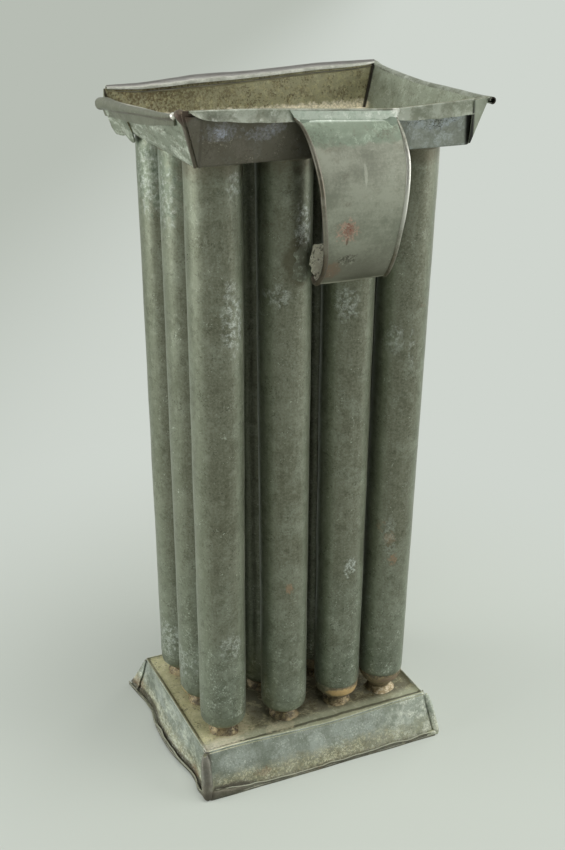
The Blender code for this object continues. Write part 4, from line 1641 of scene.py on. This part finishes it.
tin = tube_tin = Tin("tube_tin_dull_with_painted_light", (98, 98, 81), (131, 134, 117), seed=1, cloud=20.0,
                     cloudy=0.3, streak=0.18)
low_part = tin.past("Z", 150, 60, tin.noise(30, 3, 0.6, seed=18) * 90)
tin.lay_stain_or_painted_light(low_part * 0.35, (118, 132, 120))
tin.frost((160, 168, 152), 9.0, 0.45, 0.35, seed=1)
tin.frost((180, 190, 174), 7.0, 0.5, 0.4, seed=2, near=low_part)
# Painted light: the sides of the tubes that face the two side lamps are painted paler.
painted_light_right, painted_light_left = [tin.step(tin.facing(place), 2000.0, 3800.0) for place in PAINTED_LIGHT_FROM]
tin.lay_stain_or_painted_light(painted_light_right.more(painted_light_left) * 0.35, (146, 156, 134))
tin.frost((156, 162, 146), 3.0, 0.45, 0.35, seed=5)
tin.frost((78, 78, 60), 4.0, 0.5, 0.45, seed=3)
tin.specks_of((206, 214, 198), 0.8, 0.18, 0.5, 0.6, seed=1)
tin.specks_of((204, 212, 198), 0.9, 0.42, 0.6, 0.55, seed=2, near=low_part)
tin.specks_of((74, 74, 58), 0.8, 0.4, 0.5, 0.6, seed=3)
tin.frost((80, 90, 74), 3.0, 0.5, 0.35, seed=4, near=low_part)
top_end = tin.past("Z", 252, 258, tin.noise(4, 4, 0.6, seed=19) * 8)
tin.lay_stain_or_painted_light(top_end * tin.past("Y", -8, -14) * 0.5, (92, 84, 66))
left_tops = tin.patch((-58, 10, 244), 10.0, (2, 3, 2.2), 0.7)
tin.lay_stain_or_painted_light(left_tops * 0.4, (108, 124, 106))
tin.frost((66, 80, 64), 3.0, 0.6, 0.6, seed=71, near=left_tops)
tin.spot((84, 80, 62), (-12.5, -35, 219), 8.0, (0.8, 2, 1.5), 0.45, 2.5, strength=0.7)
TUBE_SALTS = (
    ((-37.4, -34, 199), 7.0, (0.8, 2, 2.0), 0.8), ((-38.3, -34, 213), 3.0, (1.0, 2, 1.0), 0.6),
    ((-36.5, -34, 248), 4.0, (1.0, 2, 1.6), 0.6), ((-10.2, -34, 230), 6.0, (0.7, 2, 2.4), 0.9),
    ((-19.8, -34, 206), 4.5, (1.3, 2, 1.2), 0.6), ((8.8, -34, 200), 5.0, (1.1, 2, 1.6), 0.55),
    ((14.2, -33, 87), 3.8, (0.8, 2, 1.4), 1.15), ((30.4, -34, 182), 5.0, (0.8, 2, 1.6), 0.5),
    ((37.0, -33, 178), 3.5, (0.5, 2, 3.0), 0.5), ((33, -28, 96), 6.0, (0.5, 2, 2.0), 0.5),
    ((-38.4, -34, 62), 5.0, (1.2, 2, 1.4), 0.7), ((2.0, -34, 146), 2.5, (0.8, 2, 1.6), 0.7),
    ((-58, 10, 240), 9.0, (2, 3, 2.4), 0.55), ((-52, 10, 38), 8.0, (2, 3, 1.4), 0.9),
)
salts = tin.crust * 0.0
for number, (place, radius, squeeze, strength) in enumerate(TUBE_SALTS):
    salts = salts.more(tin.patch(place, radius, squeeze, 0.7, 2.5, number) * strength)
tin.frost((196, 202, 194), 1.8, 0.8, 1.0, seed=60, near=salts)
tin.frost((76, 84, 70), 1.6, 0.6, 0.5, seed=61, near=salts)
FLUX_BROWN = (96, 66, 48)
PALE_RUST = (166, 130, 102)
TUBE_RUST = (((-23.8, -34, 231), 3.2, 0.45), ((-13.0, -34, 83.4), 1.7, 0.8),
             ((34.4, -32, 86), 2.0, 0.9), ((28.5, -34, 101), 2.6, 0.5),
             ((32.5, -34, 96), 2.4, 0.5), ((41.5, -30, 196), 2.0, 0.7))
for number, (place, radius, strength) in enumerate(TUBE_RUST):
    tin.spot(PALE_RUST if number else FLUX_BROWN, place, radius, (1, 2, 1.6), 1.3, 1.2, radius,
             peaks=(2.2, 0.6), strength=strength)
tin.done(metal=0.7, rough=(0.27, 0.47), depth=0.06)
print("tube tin:", len(tube_tin.tree.nodes), "nodes")

# %% [markdown]
# The tray is brownish and speckled inside, where wax was burnt on. Outside, its front wall
# goes from dark brown at the left to blue grey at the right, and its left end is crusted
# with pale salts. Pale dregs lie along the foot of the back wall. Each folded corner shows
# as a dark line: painted shade in the creases of the back corners and along the edges of
# the front flaps, and a brown line on the front left corner. Which side of the sheet a
# place is on can be told from its normal: inside, the sheet faces a place over the middle
# of the tray.

# %% The tray's finish
tin = tray_tin = Tin("tray_tin_dull_with_painted_shade", (112, 115, 99), (150, 155, 140), seed=5, cloud=9.0,
                     cloudy=0.7)
inside = tin.step(tin.facing((0, 0, 420)), -3.0, 3.0)
outside = 1.0 - inside
front_wall = tin.past("Y", -39.8, -40.6) * outside
wander = tin.noise(14, 4, 0.6, seed=31) * 40 - 20
leftness = tin.past("X", 25, -5, wander) * front_wall
tin.lay_stain_or_painted_light(front_wall * 0.3, (126, 132, 134))
tin.frost((176, 184, 182), 5.0, 0.5, 0.6, seed=32, near=front_wall)
by_hem = tin.patch((36, -43, 268), 12.0, (1.2, 1, 0.45), 0.6) * front_wall
tin.frost((172, 182, 190), 4.0, 0.7, 0.7, seed=36, near=by_hem)
tin.cracks((64, 66, 60), 4.0, 0.8, seed=33, near=by_hem)
tin.lay_stain_or_painted_light(leftness * 0.85, (85, 79, 65))
tin.frost((116, 110, 100), 5.0, 0.5, 0.5, seed=34, near=leftness)
tin.specks_of((62, 56, 46), 0.9, 0.4, 0.5, 0.5, seed=35, near=leftness)
tin.specks_of((150, 146, 132), 0.8, 0.25, 0.6, 0.6, seed=37, near=leftness)
BLOOMS = (((-44.3, -43, 268.0), 2.4, (1.2, 2, 0.9), 1.0),
          ((-44.3, -43, 268.2), 4.4, (1.8, 2, 0.8), 0.4),
          ((-30, -43, 267), 3.6, (1.7, 2, 0.8), 0.4),
          ((-25.5, -43, 268.6), 3.0, (1.9, 2, 0.7), 0.4))
for place, radius, squeeze, strength in BLOOMS:
    tin.spot((176, 182, 196), place, radius, squeeze, 1.2, 2.0, radius, front_wall, (2.2, 0.75),
             strength)
left_end = tin.past("X", -52.9, -53.5) * outside * (1.0 - front_wall)
ALONG_END = (1, 2.4, 1)
tin.lay_stain_or_painted_light(left_end * 0.6, (132, 142, 124))
tin.frost((214, 220, 206), 4.0, 0.6, 0.75, seed=12, near=left_end, stretch=ALONG_END)
tin.frost((70, 74, 56), 3.0, 0.5, 0.75, seed=13, near=left_end, stretch=ALONG_END)
tin.cracks((96, 92, 72), 6.0, 0.6, seed=14, near=left_end)
end_inside = tin.step(tin.facing((-4000, 0, 266)), 1000.0, 2000.0) * inside
back_inside = inside * (1.0 - end_inside)
tin.lay_stain_or_painted_light(back_inside * 0.85, (155, 152, 118))
tin.lay_stain_or_painted_light(end_inside * 0.8, (160, 168, 148))
tin.frost((92, 78, 50), 5.0, 0.6, 0.65, seed=7, near=back_inside)
tin.frost((200, 196, 160), 2.4, 0.5, 0.45, seed=8, near=back_inside)
tin.frost((190, 200, 180), 5.0, 0.5, 0.5, seed=15, near=end_inside)
tin.frost((108, 108, 86), 4.0, 0.4, 0.5, seed=16, near=end_inside)
tin.specks_of((104, 104, 82), 0.8, 0.5, 0.4, 0.5, seed=40, near=end_inside)
tin.specks_of((206, 210, 192), 0.8, 0.45, 0.5, 0.5, seed=41, near=end_inside)
tin.specks_of((74, 62, 40), 0.9, 0.55, 0.5, 0.65, seed=7, near=back_inside)
leftward = tin.past("X", 10, -40) * back_inside
tin.lay_stain_or_painted_light(leftward * 0.25, (132, 130, 98))
tin.frost((180, 174, 130), 2.0, 0.6, 0.6, seed=38, near=back_inside)
tin.specks_of((86, 70, 42), 1.0, 0.8, 0.3, 0.75, seed=39, near=leftward)
dregs = tin.past("Z", 264.8, 262.6, tin.noise(2.5, 5, 0.7, seed=12) * 7)
behind = tin.past("Y", 35.5, 38.5) * inside
tin.lay_stain_or_painted_light(dregs * behind * tin.peaks(2.4, 0.5), (252, 244, 222))
# Painted shade in the inner creases of the two back corners.
tin.line((53.2, 40.4, 257), (58.4, 42.6, 276), 1.5, (36, 30, 22), 0.95, inside)
tin.line((-53.2, 40.4, 257), (-58.4, 42.6, 272), 0.8, (50, 44, 32), 0.9, inside)
# Painted shade along the free edge of the front left flap.
tin.line((-51.8, -43.5, 272.8), (-52.2, -42.0, 259.9), 0.7, (56, 50, 42), 0.3, front_wall)
by_corner = tin.past("X", 50.8, 51.8) * front_wall
tin.lay_stain_or_painted_light(by_corner * 0.75, (146, 152, 134))
# Painted shadow in the gap beside the front right flap's free edge.
tin.line((50.6, -43.4, 269.5), (52.0, -42.0, 259), 2.3, (20, 20, 14), 1.0, front_wall)
tin.line((-59.2, -43.6, 273.5), (-54.9, -41.6, 257.5), 3.0, (88, 80, 68), 0.6, front_wall)
tin.spot((86, 72, 62), (-57.6, -41.5, 275.6), 4.4, ragged=0.25, strength=0.85)
tin.done(metal=0.55, depth=0.05)
print("tray tin:", len(tray_tin.tree.nodes), "nodes")

# %% [markdown]
# The hem and the rolls at the ends share one finish. The hem was rubbed clean of its crust,
# so it is paler, while the left roll kept a dull green. A painted highlight runs along the
# left roll's top and lights its front nose, and painted shade runs under it. The open front
# end of the right roll is painted dark, as painted shade. The roll on the back is nearly
# bare metal, so it has a finish of its own made of painted light: its pale ground is a
# painted highlight, darkened on top as a painted reflection of the room and underneath as
# painted shade.

# %% Finishes of the hem and the rolls
tin = hem_tin = Tin("hem_tin_rubbed_with_painted_light", (128, 132, 116), (164, 169, 155), seed=33, cloud=7.0)
tin.frost((218, 222, 210), 5.0, 0.4, 0.6, seed=35)
tin.frost((100, 96, 76), 4.0, 0.35, 0.6, seed=34)
roll_place = tin.past("X", -55.5, -56.5)
tin.lay_stain_or_painted_light(roll_place * 0.85, (103, 105, 87))
tin.specks_of((164, 166, 148), 0.8, 0.4, 0.4, 0.55, seed=36, near=roll_place)
tin.specks_of((72, 70, 54), 0.8, 0.4, 0.4, 0.55, seed=40, near=roll_place)
tin.spot((222, 224, 214), (20.0, -44.4, 271.4), 2.2, ragged=0.8, size=1.2, strength=0.8)
# Painted shade under the left roll, and a painted highlight along its top and on its front nose.
tin.line((-59.2, -38, 272.9), (-59.8, 44, 262.7), 1.0, (82, 74, 58), 0.75, roll_place)
tin.line((-58.6, -36, 275.3), (-58.6, -2, 271.2), 0.8, (206, 202, 186), 0.6, roll_place)
tin.spot((250, 248, 238), (-59.2, -36.6, 273.6), 1.7, ragged=0.3, strength=0.8)
# Painted shade in the open front end of the right roll.
tin.spot((46, 42, 34), (60, -45.5, 273), 3.0, ragged=0.2)
tin.done(metal=0.65, rough=(0.34, 0.5), depth=0.04)

# Painted highlight: the pale ground stands for the back roll's gleam.
tin = roll_tin = Tin("back_roll_tin_painted_light", (176, 178, 164), (206, 208, 196), seed=37, cloud=6.0)
# Painted reflection: darker where the roll faces up, as it mirrors the dark room.
tin.lay_stain_or_painted_light(tin.step(tin.tilt(), 0.36, 0.66) * 0.85, (102, 99, 97))
# Painted shade: darker and browner on the roll's underside.
tin.lay_stain_or_painted_light(tin.step(tin.tilt(), 0.05, -0.35) * 0.6, (150, 144, 112))
tin.specks_of((80, 78, 64), 0.8, 0.3, 0.5, 0.5, seed=38)
tin.done(metal=0.55, rough=(0.36, 0.5), depth=0.03)
print("hem and rolls done")

# %% [markdown]
# The base has stood on damp shelves. Its skirt is blue grey near the crease and yellowish
# with crusty specks towards the foot. The plate is olive and brown between the tips and
# paler at the left, and pale dregs lie at the front left corner. Its hem is dark, partly
# with rust and partly as painted shade, and a painted highlight runs along its top. Painted
# shade also darkens the left skirt just above its hem. The tilt of the surface tells the
# plate from the skirt, so the shell needs only one material.

# %% The base's finish
tin = base_tin = Tin("base_tin_stained_with_painted_shade", (124, 132, 118), (158, 166, 156), seed=9, cloud=12.0)
on_top = tin.step(tin.tilt(), 0.72, 0.9)
side_on = 1.0 - on_top
low_band = tin.past("Z", 15.0, 8.5, tin.noise(6, 5, 0.65, seed=14) * 9) * side_on
tin.lay_stain_or_painted_light(low_band * 0.6, (140, 134, 100))
tin.frost((212, 210, 176), 1.3, 0.62, 0.7, seed=10, near=low_band)
tin.specks_of((222, 220, 190), 0.7, 0.5, 0.5, 0.6, seed=32, near=low_band)
tin.frost((108, 100, 70), 2.6, 0.5, 0.6, seed=9, near=low_band)
tin.frost((104, 110, 96), 6.0, 0.35, 0.5, seed=11, near=side_on)
at_right = side_on * tin.past("X", 22, 48)
at_left = tin.past("X", -51, -53)
left_skirt = side_on * at_left
ALONG_SKIRT = (1, 2.2, 1)
tin.lay_stain_or_painted_light(at_right * 0.4, (162, 170, 152))
tin.frost((230, 234, 218), 4.0, 0.75, 0.8, seed=26, near=at_right)
tin.frost((222, 228, 208), 4.0, 0.7, 0.75, seed=29, near=left_skirt, stretch=ALONG_SKIRT)
tin.frost((92, 96, 72), 3.0, 0.6, 0.7, seed=27, near=left_skirt, stretch=ALONG_SKIRT)
# Painted shade: the left skirt darkens just above its hem, where the hem stands off.
tin.lay_stain_or_painted_light(tin.past("Z", 4.8, 3.4) * side_on * at_left * 0.8, (56, 50, 38))
leftness = tin.past("X", -20, -38)
plate_shade = tin.blend(leftness, (114, 107, 81), (228, 223, 174))
tin.lay_stain_or_painted_light(on_top * tin.fade(leftness, 0.8, 0.85), plate_shade)
tin.frost((206, 202, 160), 3.0, 0.6, 0.6, seed=24, near=on_top)
tin.frost((240, 234, 200), 2.0, 0.75, 0.75, seed=31, near=on_top * leftness)
tin.frost((80, 70, 46), 5.0, 0.55, 0.6, seed=25, near=on_top * (1.0 - leftness * 0.85))
tin.specks_of((92, 86, 56), 0.9, 0.55, 0.5, 0.6, seed=28, near=on_top)
by_front = tin.step(tin.axis("Y") + tin.grain * 3 - 1.5, -28.5, -33) * on_top
tin.lay_stain_or_painted_light(by_front * 0.75, (180, 184, 156))
tin.frost((216, 216, 190), 2.0, 0.5, 0.5, seed=30, near=by_front)
inside_edge = tin.axis("Y") + tin.noise(7, 3, 0.6, seed=33) * 1.6
border = tin.step(inside_edge, -33.4, -33.9) * tin.step(inside_edge, -35.4, -34.9)
border = border.more(tin.past("X", -49.2, -50.0))
tin.lay_stain_or_painted_light(border * on_top * 0.75, (70, 68, 50))
tin.specks_of((206, 212, 198), 0.7, 0.45, 0.4, 0.5, seed=34, near=side_on)
tin.specks_of((96, 102, 90), 0.7, 0.45, 0.4, 0.5, seed=35, near=side_on)
ORANGE_SPOTS = (((-42.0, 23.5, 17), 3.0), ((-38, 28, 17), 3.2), ((-40.5, 4.5, 17), 3.4))
for place, radius in ORANGE_SPOTS:
    tin.spot((206, 150, 98), place, radius, ragged=1.2, size=1.0, seed=radius, near=on_top,
             peaks=(1.8, 0.3))
SKIRT_RUST = (((-28, -44, 5), 2.6), ((-54, -30, 4), 3.0), ((-55, 38, 5), 3.6))
for place, radius in SKIRT_RUST:
    spot = tin.patch(place, radius, (1.6, 1.6, 0.7), 1.3, 1.0, radius)
    tin.lay_stain_or_painted_light(spot * (tin.grain * 1.4 - 0.4), (146, 112, 82))
DREGS = (((-48.5, -34.6, 17), 4.2, (236, 233, 218)), ((-42, -34, 17), 7.0, (224, 218, 192)),
         ((-36, -27, 17), 6.0, (212, 200, 166)), ((-16, -33, 17), 5.0, (200, 194, 162)))
for place, radius, shade in DREGS:
    tin.spot(shade, place, radius, (1.6, 0.8, 1), 1.3, 2.0, radius, on_top, (2.8, 0.9))
tin.line((-52.0, -38, 17), (-54.2, -47, 0.5), 3.4, (98, 94, 84), 0.85, side_on)
tin.spot((84, 80, 70), (-45, -47, 1.8), 9.0, (1.7, 1, 0.42), 0.2, strength=0.85)
tin.done(metal=0.5, rough=(0.42, 0.62), depth=0.06)

# The hem's dark ground is partly rust and partly painted shade.
tin = foot_tin = Tin("foot_tin_rust_and_painted_light", (84, 82, 70), (112, 112, 98), seed=41, cloud=8.0)
tin.frost((160, 156, 128), 4.0, 0.35, 0.5, seed=42)
# Painted highlight: pale where the hem's upper edge and fold face up.
tin.lay_stain_or_painted_light(tin.step(tin.tilt(), 0.35, 0.7) * 0.8, (196, 198, 178))
tin.frost((112, 84, 62), 6.0, 0.4, 0.6, seed=43)
tin.done(metal=0.5, depth=0.05)
print("base tin:", len(base_tin.tree.nodes), "nodes")

# %% [markdown]
# The handle was rubbed by hands, which left it smooth and faintly brushed across. It is pale
# green near its top and dark near the foot, with a bloom of rust low down and a brown tint
# at its lower left. The leaf that turns up behind its foot is rough with solder. Lap, bow
# and leaf are one mesh, so soft steps along Y and Z find each of them.

# %% The handle's finish
tin = handle_tin = Tin("rubbed_handle_tin", (128, 131, 116), (152, 155, 139), seed=13,
                       cloud=14.0, streak=0.25, run=(14, 14, 1))
edge = tin.noise(5, 5, 0.7, seed=16) * 8
lower = tin.past("Z", 238, 218, edge)
tin.lay_stain_or_painted_light(lower * 0.65, (90, 86, 72))
upper = tin.past("Z", 265.6, 267.0, edge)
tin.lay_stain_or_painted_light(upper * 0.7, (118, 134, 115))
tin.frost((172, 186, 166), 5.0, 0.6, 0.6, seed=17, near=upper)
tin.specks_of((96, 104, 86), 0.9, 0.5, 0.5, 0.5, seed=18, near=upper)
lap = tin.past("Z", 269.2, 270.0, tin.axis("X") * 0.055) * tin.past("Y", -46.2, -45.6)
tin.lay_stain_or_painted_light(lap * 0.85, (194, 203, 190))
tin.spot((224, 226, 216), (19.6, -44.4, 271.2), 2.2, ragged=0.8, size=1.2, strength=0.8)
tin.frost((150, 166, 148), 3.0, 0.65, 0.7, seed=19, near=lap)
tin.frost((232, 236, 226), 2.5, 0.5, 0.6, seed=21, near=lap)
tin.spot((134, 98, 76), (-6, -46, 217), 6.0, ragged=0.6, size=2.2, peaks=(1.8, 0.4), strength=0.8)
tin.frost((112, 108, 92), 7.0, 0.3, 0.5, seed=20)
tin.specks_of((196, 200, 184), 0.8, 0.2, 0.5, 0.4, seed=14)
tin.spot((190, 152, 134), (-1.8, -52.4, 233.6), 4.6, (1.1, 1, 1), 1.2, 1.2, peaks=(2.8, 1.0))
tin.spot((118, 62, 50), (-1.8, -52.3, 233.9), 2.6, (0.9, 1, 1.1), 1.7, 0.9, peaks=(2.8, 0.95))
tin.spot((104, 78, 62), (-1.7, -51.4, 229.6), 1.2, (0.5, 3, 1.6), 0.4, 1, strength=0.7)
scar = tin.step(tin.noise(1.1, 4, 0.7, seed=45), 0.46, 0.54)
tin.spot((66, 62, 50), (0.0, -48.5, 222.4), 3.2, (1.4, 2, 0.7), 0.8, 1.5, near=scar, strength=0.75)
round_scar = tin.patch((0.6, -48.0, 221.4), 3.2, (1.4, 2, 0.8), 0.8)
tin.frost((190, 192, 176), 1.6, 0.6, 0.35, seed=46, near=round_scar)
tin.spot((196, 200, 184), (4.2, -52.0, 252.5), 1.5, (0.5, 3, 3.4), 0.5, 1.5, strength=0.35)
leaf = tin.past("Y", -38.6, -37.8) * tin.past("Z", 250, 240)
tin.lay_stain_or_painted_light(leaf * 0.95, (226, 223, 200))
tin.frost((250, 248, 232), 1.6, 0.7, 0.8, seed=45, near=leaf)
tin.specks_of((104, 98, 76), 0.9, 0.7, 0.5, 0.8, seed=44, near=leaf)
tin.rusty = tin.rusty.more(leaf)
tin.lay_stain_or_painted_light(tin.past("Z", 212.2, 211.6) * 0.6, (196, 194, 176))
tin.done(metal=0.6, rough=(0.36, 0.5), depth=0.04)

tin = bead_tin = Tin("bead_tin_painted_highlight", (112, 110, 95), (156, 157, 143), seed=51, cloud=9.0)
tin.specks_of((86, 76, 58), 0.9, 0.35, 0.5, 0.5, seed=52)
left_bead = tin.past("X", 2, -2)
tin.lay_stain_or_painted_light(left_bead * 0.6, (96, 88, 76))
# Painted highlight: the right bead is pale along the middle of its height.
bead_painted_highlight = tin.past("Z", 226, 240) * tin.past("Z", 264, 256)
tin.lay_stain_or_painted_light(bead_painted_highlight * (1.0 - left_bead) * 0.8, (216, 216, 206))
tin.lay_stain_or_painted_light(tin.past("Z", 234, 216) * 0.5, (96, 82, 68))
tin.done(metal=0.75, rough=(0.3, 0.42), depth=0.03)
print("handle tin:", len(handle_tin.tree.nodes), "nodes")

# %% [markdown]
# The tips rusted most, above all the right ones, and a worn golden edge shows on some. The
# solder is a soft grey white, dull and crusted, and mottled brown round the tips' necks. A
# second solder would do for those, but one finish that browns by height has no border.

# %% Finishes of the tips and the solder
tin = tip_rust = Tin("rusty_tip_tin", (103, 109, 92), (128, 135, 118), seed=17, cloud=6.0,
                     cloudy=0.6)
tin.frost((180, 186, 168), 3.0, 0.5, 0.45, seed=45)
rightward = tin.past("X", 6, 16, tin.noise(6, 4, 0.6, seed=46) * 10)
low_neck = tin.past("Z", 23.5, 21.5, tin.noise(2, 4, 0.6, seed=47) * 3)
tin.rust((rightward * 0.7).more(low_neck * 0.75), 20)
tin.frost((180, 160, 122), 1.6, 0.5, 0.5, seed=48, near=rightward.more(low_neck))
gold = tin.patch((14.2, -31.5, 24.8), 6.0, (1.5, 1, 0.42), 0.5, 1.2)
tin.lay_stain_or_painted_light(gold * (0.4 + tin.grain), (204, 174, 124))
tin.spot((146, 126, 106), (37, -31, 25.0), 5.0, (1.5, 1, 0.45), 0.3, strength=0.7)
tin.spot((208, 184, 128), (-46, 0, 23.5), 4.5, (1.5, 1, 0.36), 0.3, strength=0.8)
tin.done(metal=0.65, rough=(0.38, 0.6), depth=0.07)

tin = solder_grey = Tin("dull_solder", (146, 149, 132), (196, 201, 186), seed=21, cloud=3.0)
tin.specks_of((98, 90, 70), 0.9, 0.5, 0.5, 0.6, seed=21)
round_necks = tin.past("Z", 24, 22)
mottle = tin.step(tin.noise(3.5, 5, 0.65, seed=25), 0.42, 0.58)
tin.lay_stain_or_painted_light(round_necks * 0.85, tin.blend(mottle, (94, 80, 56), (150, 132, 94)))
tin.frost((204, 190, 146), 1.8, 0.5, 0.7, seed=26, near=round_necks)
tin.specks_of((70, 56, 40), 0.9, 0.6, 0.5, 0.7, seed=27, near=round_necks)
pale_collar = tin.patch((38, -30, 17), 8.5, ragged=0.5, size=1.5)
tin.lay_stain_or_painted_light(pale_collar * 0.6, (184, 164, 124))
tin.frost((238, 228, 200), 1.5, 0.85, 0.85, seed=30, near=pale_collar)
tin.specks_of((92, 74, 50), 0.9, 0.5, 0.4, 0.7, seed=31, near=pale_collar)
under = tin.past("Z", 230, 250) * tin.past("Z", 257.5, 257.1)
tin.lay_stain_or_painted_light(under * 0.8, (92, 84, 66))
by_leaf = tin.step(tin.away((-11, -36, 219)), 12, 9)
tin.lay_stain_or_painted_light(by_leaf * 0.88, (98, 99, 82))
tin.frost((188, 198, 180), 2.5, 0.6, 0.6, seed=28, near=by_leaf)
in_crease = tin.past("Z", 262, 264) * tin.past("Y", -44, -44.5)
worn_off = tin.step(tin.noise(3, 4, 0.6, seed=29), 0.75, 0.55)
tin.lay_stain_or_painted_light(in_crease * worn_off * 0.9, (108, 122, 106))
tin.done(metal=0.45, rough=(0.44, 0.64), depth=0.08)
print("tips and solder done")

# %% [markdown]
# ## Dressing the model
#
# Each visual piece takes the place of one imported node, or lies on it, and rides with the
# mould's one body. The slot's name says which of the parts' materials it stands for.

# %% Dress every piece
dressed = [dress(*row) for row in (
    (tray_shell, tray_tin, "tin_tray", "tray"),
    (tray_flaps, tray_tin, "tin_tray"),
    (tray_hem, hem_tin, "tin_tray"),
    (left_roll, hem_tin, "tin_tray"),
    (right_roll, hem_tin, "tin_tray"),
    (back_roll, roll_tin, "tin_tray"),
    (base_shell, base_tin, "tin_base", "base"),
    (base_flaps, base_tin, "tin_base"),
    (base_hem, foot_tin, "tin_base"),
    (strap, handle_tin, "tin_handle", "handle"),
    (beads, bead_tin, "tin_handle"),
    (crease_solder, solder_grey, "solder", "handle_top_solder"),
    (left_solder, solder_grey, "solder", "handle_foot_solder_left"),
    (right_solder, solder_grey, "solder", "handle_foot_solder_right"),
)]
IN_ROWS = ((tubes, tube_tin, "tin_tube", "tube"), (tips, tip_rust, "rusty_tip", "tip"),
           (top_rings, solder_grey, "solder", "top_solder"),
           (foot_rings, solder_grey, "solder", "foot_solder"))
for place in TUBES:
    for made, finish, slot, kind in IN_ROWS:
        dressed.append(dress(made[place], finish, slot, node_name(kind, *place)))
print("dressed:", len(dressed), "pieces")

# %% Finish and print the size
print("CAD:  ", [round(c / MM, 2) for c in cad_low], [round(c / MM, 2) for c in cad_high])
